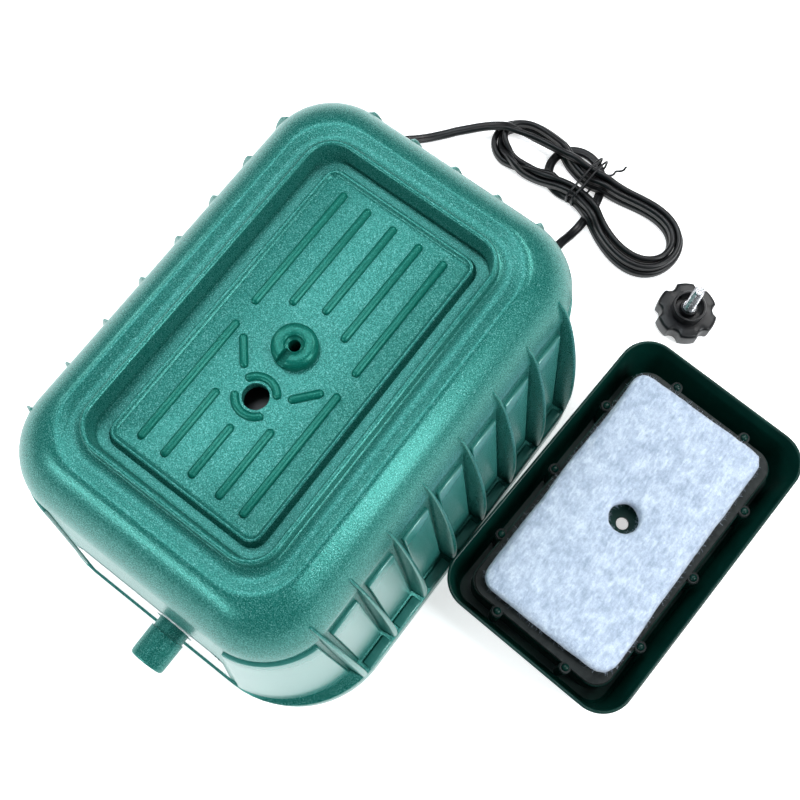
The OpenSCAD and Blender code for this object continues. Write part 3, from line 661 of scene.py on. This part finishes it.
def make_cord():
    turns = hank_turns()
    route = NEAR_RUN + LEAD_IN + turns + LAST_TURN + PLUG_RUN
    path = spline(route, 0.0022)
    first = nearest(path, turns[0])
    last = nearest(path, PLUG_RUN[0])
    rolls = []
    for i in range(len(path)):
        lying = min(1.0, max(0.0, min(i - first + 10, last - i) / 12))
        rolls.append(pi / 2 * lying * lying * (3 - 2 * lying))
    start = nearest(path, NEAR_RUN[-1])
    settle(path, rolls, start, last + 12)
    verts, faces = sweep(path, lambda i: twin_outline(rolls[i]))
    piece = new_piece("mains_cord", [v / MM for v in verts], faces, CORD, "pump", "cord_black", smooth=50)
    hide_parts("cord_tube_near_pump", "cord_hank", "cord_tube_to_plug")
    length = sum((b - a).length for a, b in zip(path, path[1:]))
    return piece, path, length


TIE_X, TIE_Y = 27.0, 206.0
TIE_R = 0.65


def waist_of(piece):
    """(lowest y, highest y, top) of the cord's strands at the tie, in millimetres."""
    at_tie = [v.co / MM for v in piece.data.vertices
              if abs(v.co.x / MM - TIE_X) < 4 and abs(v.co.y / MM - TIE_Y) < 18]
    return min(v.y for v in at_tie), max(v.y for v in at_tie), max(v.z for v in at_tie)


def squared(value):
    """Cosine or sine pushed outwards, which turns an ellipse into a rounded box."""
    return copysign(abs(value) ** 0.6, value)


def make_tie(cord):
    """Thin wire tie: two skewed loops round the waist of the hank and a twisted end."""
    low, high, top = waist_of(cord)
    centre = Vector((TIE_X, (low + high) / 2, (top + TIE_R) / 2))
    route = []
    for k in range(73):
        a = radians(-60 + 720 * k / 72)
        across = ((high - low) / 2 + TIE_R) * squared(cos(a))
        rise = (top + TIE_R) / 2 * squared(sin(a))
        along = -3.5 + 7 * k / 72 + 2.2 * cos(a)
        route.append(centre + Vector((along, across, rise)))
    end = route[-1]
    for k in range(1, 15):
        a = k * 1.1
        route.append(end + Vector((0.6 * k + 0.6 * cos(a), 0.9 * k, 0.25 * k + 0.6 * sin(a))))
    for p in route:
        p.z = max(p.z, 2 * TIE_R)
    path = spline(route, 1.0)
    outline = [(x, y) for x, y, _ in circle(TIE_R, 0, 8)]
    verts, faces = sweep(path, lambda i: outline, upright=False)
    piece = new_piece("wire_tie", verts, faces, BLACK, "pump", "cord_black", smooth=60)
    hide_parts("cord_tie")
    return piece


cord_piece, cord_path, cord_length = make_cord()
tie_piece = make_tie(cord_piece)

# ---------- housing ----------


def cast_piece(name, shape, made, smooth=32):
    return new_piece(name, *shape, made, "pump", "hammertone_casting", smooth)


# Heights and half sizes as in the CAD source
HOUSING_LO, HOUSING_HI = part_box("upper_housing")
HALF_W = HOUSING_HI.x / MM
HALF_L = HOUSING_HI.y / MM
FLANGE_BOTTOM = HOUSING_LO.z / MM
RIM_TOP = HOUSING_HI.z / MM
FLANGE_TOP = FLANGE_BOTTOM + 4
WALL_T = 3
SHOULDER_TOP = 158
SHOULDER_H = 37
SHOULDER_R = 26
SHOULDER_X, SHOULDER_Y = 80, 114.6
SHOULDER_CORNER = 33
VALLEY = 155
CHANNEL = 149
PLATE = 152
PLATE_UNDER = 146
RECESS_X, RECESS_Y = 46.8, 81.6
RIM_W = 2.6
LIP_X, LIP_Y = 39.2, 75.25
LIP_TOP = 154
INLET = (0, -26)
RIB_PITCH = 24.4
REAR_PITCH = 23
RIBS = 8
RIB_HEAD_Z = 143
RIB_ELBOW_Z = 44
RIB_TAPER = 0.2
RIB_FULLNESS = 0.6
# Middles of the bays between ribs
SIDE_BAYS = [(k - (RIBS - 2) / 2) * RIB_PITCH for k in range(RIBS - 1)]
REAR_BAYS = [k * REAR_PITCH for k in (-1.5, -0.5, 0.5, 1.5)]
BEAD_R = 1.9
ARC_R = 8.7
# The sloping wall: height, half width, front and rear half lengths, and corner radius at foot and head
WALL_FOOT = (23.6, 88, 127, 122, 46)
WALL_HEAD = (128.8, 78.8, 113.6, 113.6, 34)


def shoulder(steps, inset):
    """(inset, height) points of the shoulder's quarter ellipse, from the wall up."""
    points = []
    for s in range(steps + 1):
        a = radians(14 + s * 61 / steps)
        reach = SHOULDER_R - inset
        points.append((reach - reach * cos(a), -SHOULDER_H + (SHOULDER_H - inset) * sin(a)))
    return points


def shoulder_ring(point, inset):
    inward, height = point
    x, y = SHOULDER_X - inset - inward, SHOULDER_Y - inset - inward
    return even_ring(x, y, SHOULDER_CORNER - inset - inward * 0.6, SHOULDER_TOP + height)


def make_shell():
    rings = [*nested(RECESS_X, RECESS_Y, 11,
                     [(-1, PLATE_UNDER), (-2, PLATE_UNDER + 2), (-2, VALLEY - WALL_T)]),
             even_ring(57, 92, 24, SHOULDER_TOP - 5)]
    rings += [shoulder_ring(p, WALL_T) for p in reversed(shoulder(5, WALL_T))]
    rings += [ring(85, 124, 119, 45, FLANGE_TOP + 1),
              ring(85, 124, 119, 45, FLANGE_BOTTOM),
              *nested(HALF_W, HALF_L, 50, [(0, FLANGE_BOTTOM), (0, FLANGE_TOP - 1),
                                               (0.3, FLANGE_TOP - 0.3), (1, FLANGE_TOP)]),
              ring(89.2, 128.4, 123.2, 47, FLANGE_TOP + 0.2),
              ring(88, 127, 122, 46, FLANGE_TOP + 1.2),
              ring(78.8, 113.6, 113.6, 34, 128.8)]
    rings += [shoulder_ring(p, 0) for p in shoulder(16, 0)]
    rings += [even_ring(59, 93.6, 24, SHOULDER_TOP - 1.4),
              even_ring(56, 90.6, 21, VALLEY + 0.2),
              *nested(RECESS_X + RIM_W, RECESS_Y + RIM_W, 14.6,
                      [(-1.2, VALLEY), (-0.3, VALLEY + 0.5), (0, VALLEY + 1.4)])]
    rounding = [radians(30 * k) for k in range(7)]
    rings += nested(RECESS_X + RIM_W / 2, RECESS_Y + RIM_W / 2, 13.3,
                    [(-RIM_W / 2 * cos(a), RIM_TOP - 1.1 + 1.1 * sin(a)) for a in rounding])
    rings += nested(RECESS_X, RECESS_Y, 11.8,
                    [(0.6, CHANNEL + 1.6), (1.0, CHANNEL + 0.4), (2.0, CHANNEL)])
    rings += nested(LIP_X, LIP_Y, 6, [
        (-1.4, CHANNEL), (-0.6, CHANNEL + 0.8), (0, LIP_TOP - 0.8), (0.3, LIP_TOP - 0.2), (0.8, LIP_TOP),
        (1.4, LIP_TOP - 0.1), (1.9, LIP_TOP - 0.7), (2.3, PLATE + 0.4), (3.0, PLATE)])
    piece = cast_piece("housing_casting", loft(rings), PAINT, smooth=38)
    drill = moved(loft([circle(5.8, PLATE_UNDER - 2), circle(5.8, PLATE + 3)]), (*INLET, 0))
    stud_way = loft([circle(4.2, PLATE_UNDER - 2), circle(4.2, PLATE + 3)])
    axis = (centre_of("outlet_spigot").x, 0, centre_of("outlet_spigot").z)
    way = moved(loft([circle(8.3, 100), circle(8.3, 132)]), axis, tilt=Matrix.Rotation(pi / 2, 3, "X"))
    cut(piece, [drill, stud_way, way])
    shade(piece, 38)
    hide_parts("upper_housing")
    return piece


def rib_bulge(z):
    """How far a rib stands out at height z, from 0 at its head to 1 at its elbow."""
    share = max(0, (z - RIB_ELBOW_Z) / (RIB_HEAD_Z - RIB_ELBOW_Z))
    return (1 - RIB_TAPER * share) * (1 - share ** 2) ** RIB_FULLNESS


def rib_shape(head, foot, wall_low, wall_high):
    """A rib in the plane of X (outwards) and Z, thin at its head and thicker at its foot."""
    rings = []
    for k in range(31):
        z = FLANGE_TOP - 0.6 + (RIB_HEAD_Z - FLANGE_TOP + 0.6) * k / 30
        out = head + (foot - head) * rib_bulge(z)
        share = (z - FLANGE_TOP) / (RIB_HEAD_Z - FLANGE_TOP)
        inner = min(wall_low + (wall_high - wall_low) * share, out - 0.4)
        tip = 0.5 + 1.0 * (1 - share) ** 0.7
        half = [(inner, tip + 0.9), (out - 0.7, tip), (out - 0.2, tip * 0.72), (out, tip * 0.3)]
        rings.append([(x, -y, z) for x, y in half] + [(x, y, z) for x, y in reversed(half)])
    return loft(rings)


def make_ribs():
    shapes = []
    for side in (0, 180):
        for k in range(RIBS):
            y = (k - (RIBS - 1) / 2) * RIB_PITCH
            turn = radians(side)
            at = (-sin(turn) * y, cos(turn) * y, 0)
            shapes.append(moved(rib_shape(75, HALF_W - 0.3, 86, 74), at, yaw=side))
    for k in range(-2, 3):
        shapes.append(moved(rib_shape(109.8, HALF_L - 0.3, 120, 108.5), (k * REAR_PITCH, 0, 0), yaw=90))
    return cast_piece("wall_ribs", joined(shapes), PAINT, smooth=40)


def make_flange_pads():
    shapes = []
    for side in (-1, 1):
        x = side * (HALF_W - 3.1)
        for y in SIDE_BAYS:
            shapes.append(block(x - 2.6, x + 2.6, y - 8.4, y + 8.4, FLANGE_TOP - 1, FLANGE_TOP + 1.5))
    y = HALF_L - 3.1
    for x in REAR_BAYS:
        shapes.append(block(x - 7.8, x + 7.8, y - 2.6, y + 2.6, FLANGE_TOP - 1, FLANGE_TOP + 1.5))
    piece = cast_piece("flange_pads", joined(shapes), PANEL_SHEEN_PAINT)
    return bevel(piece, 0.7, 3)


def wall_at(z):
    """(half width, front, rear, corner radius) of the sloping wall at height z."""
    share = (z - WALL_FOOT[0]) / (WALL_HEAD[0] - WALL_FOOT[0])
    return [a + (b - a) * share for a, b in zip(WALL_FOOT[1:], WALL_HEAD[1:])]


def slab(rows):
    """Closed sheet from rows of (point, outward direction), a little into the wall and proud of it."""
    wide = len(rows[0])
    tall = len(rows)
    verts = [p + n * out for out in (PANEL_OUT, -PANEL_IN) for row in rows for p, n in row]
    back = wide * tall
    faces = []
    for j in range(tall - 1):
        for i in range(wide - 1):
            a = j * wide + i
            faces.append((a, a + 1, a + 1 + wide, a + wide))
            faces.append((back + a, back + a + wide, back + a + 1 + wide, back + a + 1))
    edge = list(range(wide)) + [j * wide + wide - 1 for j in range(1, tall)]
    edge += [(tall - 1) * wide + i for i in range(wide - 2, -1, -1)]
    edge += [j * wide for j in range(tall - 2, 0, -1)]
    for a, b in zip(edge, edge[1:] + edge[:1]):
        faces.append((a, back + a, back + b, b))
    return verts, faces


PANEL_LOW, PANEL_HIGH = 27.5, 121
PANEL_OUT = 1.7
PANEL_IN = 0.6
PANEL_ROWS = 8


def panel_heights():
    return [PANEL_LOW + (PANEL_HIGH - PANEL_LOW) * k / (PANEL_ROWS - 1) for k in range(PANEL_ROWS)]


def flat_panel(middle_at, out, across, half):
    """Panel on a straight wall, whose middle is middle_at(z)."""
    return slab([[(middle_at(z) + across * reach, out) for reach in (-half, half)]
                 for z in panel_heights()])


def side_panel(side, y):
    return flat_panel(lambda z: Vector((side * wall_at(z)[0], y, z)),
                      Vector((side, 0, 0)), Vector((0, 1, 0)), 8.6)


def rear_panel(x):
    return flat_panel(lambda z: Vector((x, wall_at(z)[2], z)),
                      Vector((0, 1, 0)), Vector((1, 0, 0)), 8.2)


def corner_panel(side, end, from_x, to_y):
    """Panel round a corner: side is -1 or 1 along X, end -1 (front) or 1 (rear)."""
    rows = []
    for z in panel_heights():
        x, front, rear, r = wall_at(z)
        y = front if end < 0 else rear
        start = acos(min(1, max(0, (from_x - (x - r)) / r)))
        stop = asin(min(1, max(0, (to_y - (y - r)) / r)))
        row = []
        for k in range(15):
            a = start + (stop - start) * k / 14
            out = Vector((side * cos(a), end * sin(a), 0))
            middle = Vector((side * (x - r), end * (y - r), z))
            row.append((middle + out * r, out))
        rows.append(row)
    return slab(rows)


def make_panels():
    shapes = []
    for side in (-1, 1):
        shapes += [side_panel(side, y) for y in SIDE_BAYS]
        shapes.append(corner_panel(side, -1, 49, 89))
        shapes.append(corner_panel(side, 1, 49.5, 89))
    shapes += [rear_panel(x) for x in REAR_BAYS]
    piece = cast_piece("wall_panels", joined(shapes), PANEL_SHEEN_PAINT)
    return bevel(piece, 0.8, 3)


def capsule(a, b, r):
    """Rounded bar from a to b."""
    a, b = Vector(a), Vector(b)
    along = (b - a).normalized()
    side = UP.cross(along).normalized()
    turns = [radians(-86 + 172 * k / 12) for k in range(13)]
    stations = [(a, turn) for turn in turns[:7]] + [(b, turn) for turn in turns[6:]]
    return loft([round_about(middle + along * r * sin(turn), side, UP, r * cos(turn))
                 for middle, turn in stations])


def arc_bead(a0, a1):
    """Rounded bar round the air inlet, from one angle to another."""
    rings = []
    for k in range(25):
        a = radians(a0 + (a1 - a0) * k / 24)
        narrow = sqrt(max(0.02, 1 - max(0, abs(k / 12 - 1) - 0.86) ** 2 / 0.14 ** 2))
        out = Vector((cos(a), sin(a), 0))
        rings.append(round_about(Vector((*INLET, PLATE)) + out * ARC_R, out, UP, BEAD_R * narrow))
    return loft(rings)


# Distance from the middle line, and both ends along Y, of the straight beads
LONG_BEADS = [(0, 20.7, 66.4), (13.7, 15.7, 66.4), (26.7, 6.6, 66.4),
              (0, -66.5, -42.7), (14.4, -66.5, -34.5), (26.8, -66.5, -6.5)]


def make_beads():
    shapes = []
    for side in (-1, 1):
        for x, low, high in LONG_BEADS:
            if x or side > 0:
                shapes.append(capsule((side * x, low, PLATE), (side * x, high, PLATE), BEAD_R))
        shapes.append(capsule((side * 12.8, -18, PLATE), (side * 20.2, -9.4, PLATE), BEAD_R))
    shapes += [arc_bead(27, 159), arc_bead(200, 331)]
    return cast_piece("plate_beads", joined(shapes), SHADED_RAISED_PAINT, smooth=50)


BOSS_R = 10
BOSS_BORE_R = 2.65
BOSS_DIMPLE_R = 3.9


def make_boss():
    """Boss of the cover stud, round-shouldered, with its dimple and slot."""
    profile = [(BOSS_BORE_R, 143), (BOSS_R + 0.2, 143), (BOSS_R, 152.4)]
    for k in range(9):
        a = radians(90 * k / 8)
        profile.append((BOSS_R - 3 + 3 * cos(a), SHOULDER_TOP - 3 + 3 * sin(a)))
    profile += [(5.0, 158), (4.3, 157.7), (BOSS_DIMPLE_R, 157.0), (BOSS_DIMPLE_R, 155.8),
                (BOSS_BORE_R, 155.4)]
    piece = cast_piece("stud_boss", revolve(profile, 64), SHADED_RAISED_PAINT, smooth=40)
    cut(piece, [block(-1.95, 1.95, -12, -2.9, SHOULDER_TOP - 4, SHOULDER_TOP + 3)])
    return bevel(piece, 0.3, 2, angle=50)


def make_spigot():
    """Outlet tube with a slight draft and a rounded end."""
    lo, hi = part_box("outlet_spigot")
    x, z = centre_of("outlet_spigot").x, centre_of("outlet_spigot").z
    end, inner = lo.y / MM, hi.y / MM
    profile = [(5.5, inner), (7, inner), (7, -112.2), (8.2, -112.0), (8.2, -126.7), (9.0, -126.9),
               (9.0, end + 4), (8.9, end + 1.2), (8.6, end + 0.35), (8.1, end), (6.1, end),
               (5.7, end + 0.3), (5.5, end + 1.0)]
    rings = [[(x + r * cos(a), y, z + r * sin(a)) for a in angles(56)] for r, y in profile]
    piece = cast_piece("outlet_tube", loft(rings, closed=True), PAINT, smooth=40)
    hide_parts("outlet_spigot")
    return piece


make_shell()
make_ribs()
make_flange_pads()
make_panels()
make_beads()
make_boss()
make_spigot()

# ---------- filter cover, gasket and pad ----------

COVER_YAW = -2.8
COVER_AT = Vector((centre_of("filter_cover").x, centre_of("filter_cover").y, 0))
COVER_X, COVER_Y, COVER_H = 53.6, 85.9, 38.9
COVER_WALL = 1.6
GASKET_Z = 26
SHEET_T = 2
INNER_X, INNER_Y = 42.4, 74.6
SHEET_X, SHEET_Y = 41.5, 74.2
DISH_R, DISH_DEPTH = 17.5, 23.5
PEGS = [(x, y) for x in (-43.4, 43.4) for y in (-43.8, 0, 43.8)]
PEGS += [(x, s * (INNER_Y + 0.5)) for x in (-21.2, 21.2) for s in (-1, 1)]


def at_cover(shape):
    return moved(shape, COVER_AT, COVER_YAW)


def make_cover():
    x, y, w, h = COVER_X, COVER_Y, COVER_WALL, COVER_H
    rounding = [pi * k / 6 for k in range(7)]
    lip = nested(x - w / 2, y - w / 2, 16.2,
                 [(-w / 2 * cos(a), h - 0.8 + 0.8 * sin(a)) for a in rounding], 16)
    rings = [*nested(x, y, 17, [(9, 0), (7.2, 0.3), (6, 1.2), (5, 2.6)], 16),
             even_ring(x - 4.2, y - 4.2, 13, 5, 16), *lip,
             even_ring(x - w - 3.9, y - w - 3.9, 11.2, 6.4, 16),
             even_ring(x - w - 4.8, y - w - 4.8, 10.4, 4, 16),
             even_ring(x - w - 6, y - w - 6, 9, 2.6, 16)]
    shell = new_piece("cover_shell", *at_cover(loft(rings)), COVER, "cover", "cover_plastic", smooth=40)
    cut(shell, [at_cover(loft([circle(DISH_R, -1, 64), circle(DISH_R, 4, 64)]))])
    shade(shell, 40)
    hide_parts("filter_cover")
    return shell


def make_cover_insides():
    top = GASKET_Z
    outer = nested(INNER_X, INNER_Y, 10,
                   [(0, 2), (0, top - 0.3), (0.3, top), (1.9, top), (2.2, top - 0.3), (2.2, 2)])
    dish = revolve([(DISH_R, 0.2), (DISH_R + 0.3, 0.0), (DISH_R + 2.2, 0.0), (DISH_R + 2.5, 0.2),
                    (DISH_R + 2.5, top - 0.4), (DISH_R + 2.1, top), (3.5, top), (3.2, top - 0.3),
                    (3.2, DISH_DEPTH), (DISH_R, DISH_DEPTH)], 72)
    shapes = [loft(outer, closed=True), dish]
    for x, y in PEGS:
        post = [circle(3.2, 2, 20), circle(3.2, top, 20)]
        head = [circle(r, top + z, 20) for r, z in (
            (1.0, -1), (1.0, SHEET_T - 0.1), (1.9, SHEET_T + 0.05), (1.8, SHEET_T + 0.5),
            (1.4, SHEET_T + 1.0), (0.6, SHEET_T + 1.3))]
        shapes += [moved(loft(post), (x, y, 0)), moved(loft(head), (x, y, 0))]
    return new_piece("cover_frame_and_pegs", *at_cover(joined(shapes)), COVER, "cover", "cover_plastic",
                     smooth=40)


def make_gasket():
    z0, z1 = GASKET_Z, GASKET_Z + SHEET_T
    sheet = nested(SHEET_X, SHEET_Y, 10, [(0, z0 + 0.05), (0, z1 - 0.4), (0.4, z1)])
    sheet += [even_ring(SHEET_X - 8.6, SHEET_Y - 8.6, 6.2, z1)]
    sheet += [even_ring(SHEET_X - 9, SHEET_Y - 9, 6, z) for z in (z1 - 0.4, z0 + 0.05)]
    shapes = [loft(sheet, closed=True)]
    for x, y in PEGS:
        tab = [circle(r, z, 24) for r, z in (
            (3.0, z0 + 0.1), (3.0, z1 - 0.5), (2.6, z1 - 0.05), (1.5, z1 - 0.05), (1.1, z1 - 0.3),
            (1.1, z0 + 0.1))]
        shapes.append(moved(loft(tab, closed=True), (x, y, 0)))
    piece = new_piece("gasket_frame", *at_cover(joined(shapes)), GASKET, "cover", "gasket_grey", smooth=40)
    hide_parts("filter_gasket")
    return piece


PAD_YAW = -1.2
PAD_HOLE_R = 8.1
PAD_X, PAD_Y = 39.6, 70.3
FIBRES = 2600


def pad_solid(shrink):
    """The cut pad as a closed block, a little smaller than the CAD pad."""
    lo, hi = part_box("filter_pad")
    x, y = PAD_X - shrink, PAD_Y - shrink
    z0, z1 = lo.z / MM + 0.4, hi.z / MM - shrink
    rings = [even_ring(x - inset, y - inset, 9 - shrink - inset, z, 8)
             for z, inset in ((z0, 0.9), (z0 + 0.8, 0), (z1 - 1.2, 0), (z1 - 0.4, 0.5), (z1, 1.4))]
    return loft(rings)


def cloth_swell(piece, cap):
    """Lets the pad's skin swell a little under inner pressure, each point moving at most cap millimetres."""
    rest = [v.co.copy() for v in piece.data.vertices]
    swell = piece.modifiers.new("swell", "CLOTH")
    swell.settings.use_pressure = True
    swell.settings.uniform_pressure_force = 4
    swell.settings.effector_weights.gravity = 0
    swell.settings.quality = 4
    swell.collision_settings.use_collision = False
    scene = bpy.context.scene
    for step in range(1, 21):
        scene.frame_set(step)
    graph = bpy.context.evaluated_depsgraph_get()
    reached = [v.co.copy() for v in piece.evaluated_get(graph).data.vertices]
    scene.frame_set(1)
    piece.modifiers.clear()
    for vertex, a, b in zip(piece.data.vertices, rest, reached):
        step = b - a
        if step.length > cap * MM:
            step = step.normalized() * cap * MM
        vertex.co = a + step


def pad_base():
    """Height, in metres, under which the pad is left flat and bare."""
    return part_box("filter_pad")[0].z + 0.002


def make_pad():
    centre = centre_of("filter_pad")
    at = (centre.x, centre.y, 0)
    piece = new_piece("felt_pad", *moved(pad_solid(1.0), at, PAD_YAW), FELT, "pad", "felt_white", smooth=60)
    cut(piece, [moved(loft([circle(PAD_HOLE_R, 20), circle(PAD_HOLE_R, 50)]), at)])
    remesh = piece.modifiers.new("even", "REMESH")
    remesh.mode = "VOXEL"
    remesh.voxel_size = 0.0022
    apply_modifiers(piece)
    cloth_swell(piece, 0.9)
    finer = piece.modifiers.new("finer", "SUBSURF")
    finer.levels = finer.render_levels = 1
    apply_modifiers(piece)
    base = pad_base()
    normals = [v.normal.copy() for v in piece.data.vertices]
    for vertex, normal in zip(piece.data.vertices, normals):
        if vertex.co.z > base:
            lump = noise.noise(vertex.co * 45) * 0.35 + noise.noise(vertex.co * 160) * 0.22
            tuft = noise.noise(vertex.co * 520) * 0.16
            vertex.co += normal * (lump + tuft) * MM
    shade(piece, 180)
    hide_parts("filter_pad")
    return piece


def make_fibres(pad):
    """Loose ends of fibre standing off the pad's skin, thickest along its edges."""
    chance = random.Random(7)
    base = pad_base()
    shapes = []
    faces = [f for f in pad.data.polygons if f.center.z > base]
    for _ in range(FIBRES):
        face = chance.choice(faces)
        flat = face.normal.z > 0.9
        if flat and chance.random() < 0.55:
            continue
        root = face.center / MM
        normal = face.normal
        lean = Vector((chance.uniform(-1, 1), chance.uniform(-1, 1), chance.uniform(-0.4, 0.4)))
        ahead = (normal * (0.35 if flat else 0.7) + lean).normalized()
        bend = Vector((chance.uniform(-1, 1), chance.uniform(-1, 1), chance.uniform(-0.6, 0.1))) * 0.5
        length = chance.uniform(0.8, 2.4)
        side = normal.orthogonal().normalized()
        other = normal.cross(side)
        rings = []
        for k in range(4):
            t = k / 3
            middle = root + ahead * length * t + bend * t * t
            rings.append(round_about(middle, side, other, 0.055 * (1 - 0.7 * t), 3))
        shapes.append(loft(rings))
    return new_piece("felt_fibres", *joined(shapes), FELT, "pad", "felt_white", smooth=60)


make_cover()
make_cover_insides()
make_gasket()
pad_piece = make_pad()
make_fibres(pad_piece)

# ---------- knob ----------

KNOB_AT = Vector((centre_of("knob_stud").x, centre_of("knob_stud").y, 0))
KNOB_R = 16.4
KNOB_H = 12
NOTCH_R = 4.2
COLLAR_H = 6
STUD_R = 3
PITCH = 1.0


def lobed_outline(z, inset):
    """Round outline with six scallops, which stand at 36 degrees and every 60 after it."""
    points = []
    far = KNOB_R + 1.8
    for a in angles(144):
        from_notch = (a - radians(36) + radians(30)) % radians(60) - radians(30)
        r = KNOB_R
        under = NOTCH_R ** 2 - (far * sin(from_notch)) ** 2
        if under > 0:
            r = min(r, far * cos(from_notch) - sqrt(under))
        r -= inset
        points.append((r * cos(a), r * sin(a), z))
    return points


def make_knob():
    rings = [lobed_outline(z, inset) for z, inset in (
        (0.0, 2.2), (0.25, 1.3), (0.9, 0.5), (1.8, 0.1), (3, 0), (KNOB_H - 2, 0), (KNOB_H - 0.9, 0.25),
        (KNOB_H - 0.25, 0.9), (KNOB_H, 1.7))]
    rings.append(circle(9.6, KNOB_H - 0.1, 144))
    body = loft(rings)
    collar = revolve([(9, KNOB_H - 1), (9, KNOB_H + COLLAR_H - 0.5), (8.6, KNOB_H + COLLAR_H),
                      (7.8, KNOB_H + COLLAR_H), (7.4, KNOB_H + COLLAR_H - 0.5), (7.4, KNOB_H + 1.2),
                      (5, KNOB_H + 1.2), (4.9, KNOB_H + 4.6), (4.5, KNOB_H + 5.0), (3.4, KNOB_H + 5.0),
                      (3.1, KNOB_H + 4.7), (3.1, KNOB_H - 1)], 72)
    piece = new_piece("lobed_knob", *moved(joined([body, collar]), KNOB_AT), BLACK, "knob", "knob_plastic",
                      smooth=36)
    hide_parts("knob_grip")


def make_stud():
    """M6 stud with its thread as one helical groove, and the steel insert it stands in."""
    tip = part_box("knob_stud")[1].z / MM
    sides = 32
    rings = []
    start = KNOB_H + 2
    count = int((tip - start) / 0.125)
    for k in range(count + 1):
        z = start + (tip - start) * k / count
        row = []
        for i, a in enumerate(angles(sides)):
            turn = (z / PITCH - i / sides) % 1
            depth = 0.55 * min(1, max(0, 1.25 - abs(2 * turn - 1) * 1.6))
            shrink = max(0, (z - tip + 0.9)) * 0.75
            r = STUD_R - 0.02 - max(depth, shrink)
            row.append((r * cos(a), r * sin(a), z))
        rings.append(row)
    insert = revolve([(2.3, KNOB_H + 4.9), (3.9, KNOB_H + 4.9), (3.9, KNOB_H + 5.5), (3.6, KNOB_H + 5.8),
                      (2.3, KNOB_H + 5.8)], 48)
    piece = new_piece("threaded_stud", *moved(joined([loft(rings), insert]), KNOB_AT), STEEL, "knob",
                      "screw_steel", smooth=45)
    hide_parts("knob_stud")


make_knob()
make_stud()

# ---------- CAD nodes that stay ----------

NODE_MATERIALS = [
    (PAINT, ["base_casting"]),
    (LABEL, ["side_label"]),
    (ALLOY, ["motor_frame"]),
    (WIRE, ["left_winding", "right_winding"]),
    (RED, ["coil_leads"]),
    (CORD, ["cord_inner_end"]),
    (BLACK, ["air_tank", "front_head_cover", "rear_head_cover", "plug_body"]),
    (CREAM, ["left_bobbin", "right_bobbin", "magnet_carrier", "terminal_block"]),
    (LAMINATION, ["left_stator_core", "right_stator_core", "drive_magnets"]),
    (GREY, ["diaphragm_plates", "front_chamber", "rear_chamber", "front_valve_plate", "rear_valve_plate"]),
    (STEEL, ["base_screws", "tank_screws", "isolator_screws", "armature_shaft", "shaft_nuts", "head_screws",
             "plug_pins"]),
    (RUBBER, ["base_gasket", "rubber_feet", "outlet_hose", "front_head_hose", "rear_head_hose",
              "rubber_isolators", "front_diaphragm", "rear_diaphragm", "head_gaskets", "front_intake_flap",
              "front_exhaust_flap", "rear_intake_flap", "rear_exhaust_flap", "cord_grip"])]


def dress(node, made):
    if not node.material_slots:
        node.data.materials.append(made)
    for place in node.material_slots:
        place.link = "OBJECT"
        place.material = made


for made, names in NODE_MATERIALS:
    for name in names:
        dress(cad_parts[name], made)

# ---------- floor and light ----------

FLOOR_HALF = 2400


def make_floor():
    rings = [even_ring(FLOOR_HALF, FLOOR_HALF, FLOOR_HALF / 2, z, 12) for z in (-6, 0)]
    floor = mesh_object("floor", *loft(rings))
    made = new_material("floor_white", (250, 250, 250), 0.6, specular=0.2)
    set_shader(made, {"Emission Color": (1, 1, 1, 1), "Emission Strength": 0.62})
    floor.data.materials.append(made)


def area_light(name, at, towards, size, power, colour=(1, 1, 1)):
    data = bpy.data.lights.new(name, "AREA")
    data.shape = "RECTANGLE"
    data.size, data.size_y = size
    data.energy = power
    data.color = colour
    light = add_object(name, data)
    light.location = at
    light.rotation_euler = (Vector(towards) - Vector(at)).to_track_quat("-Z", "Y").to_euler()


def make_light():
    world = bpy.data.worlds.new("studio")
    bpy.context.scene.world = world
    world.use_nodes = True
    background = world.node_tree.nodes["Background"]
    background.inputs["Color"].default_value = (0.93, 0.96, 1.0, 1)
    background.inputs["Strength"].default_value = 0.25
    middle = (0.04, 0.03, 0.08)
    area_light("overhead", (-0.35, 0.26, 1.3), middle, (0.7, 0.5), 6.5, (0.86, 0.94, 1))
    area_light("right_softbox", (1.0, 0.15, 0.8), middle, (0.14, 1.1), 11.5, (0.94, 0.98, 1))
    area_light("front_softbox", (-0.3, -0.95, 0.6), middle, (0.9, 0.12), 7, (0.94, 0.98, 1))
    area_light("left_key", (-1.0, 0.1, 0.9), middle, (0.3, 0.6), 4)
    area_light("rear_key", (0.2, 0.85, 1.0), middle, (0.6, 0.1), 6)


make_floor()
make_light()
bpy.context.scene.view_settings.view_transform = "Standard"
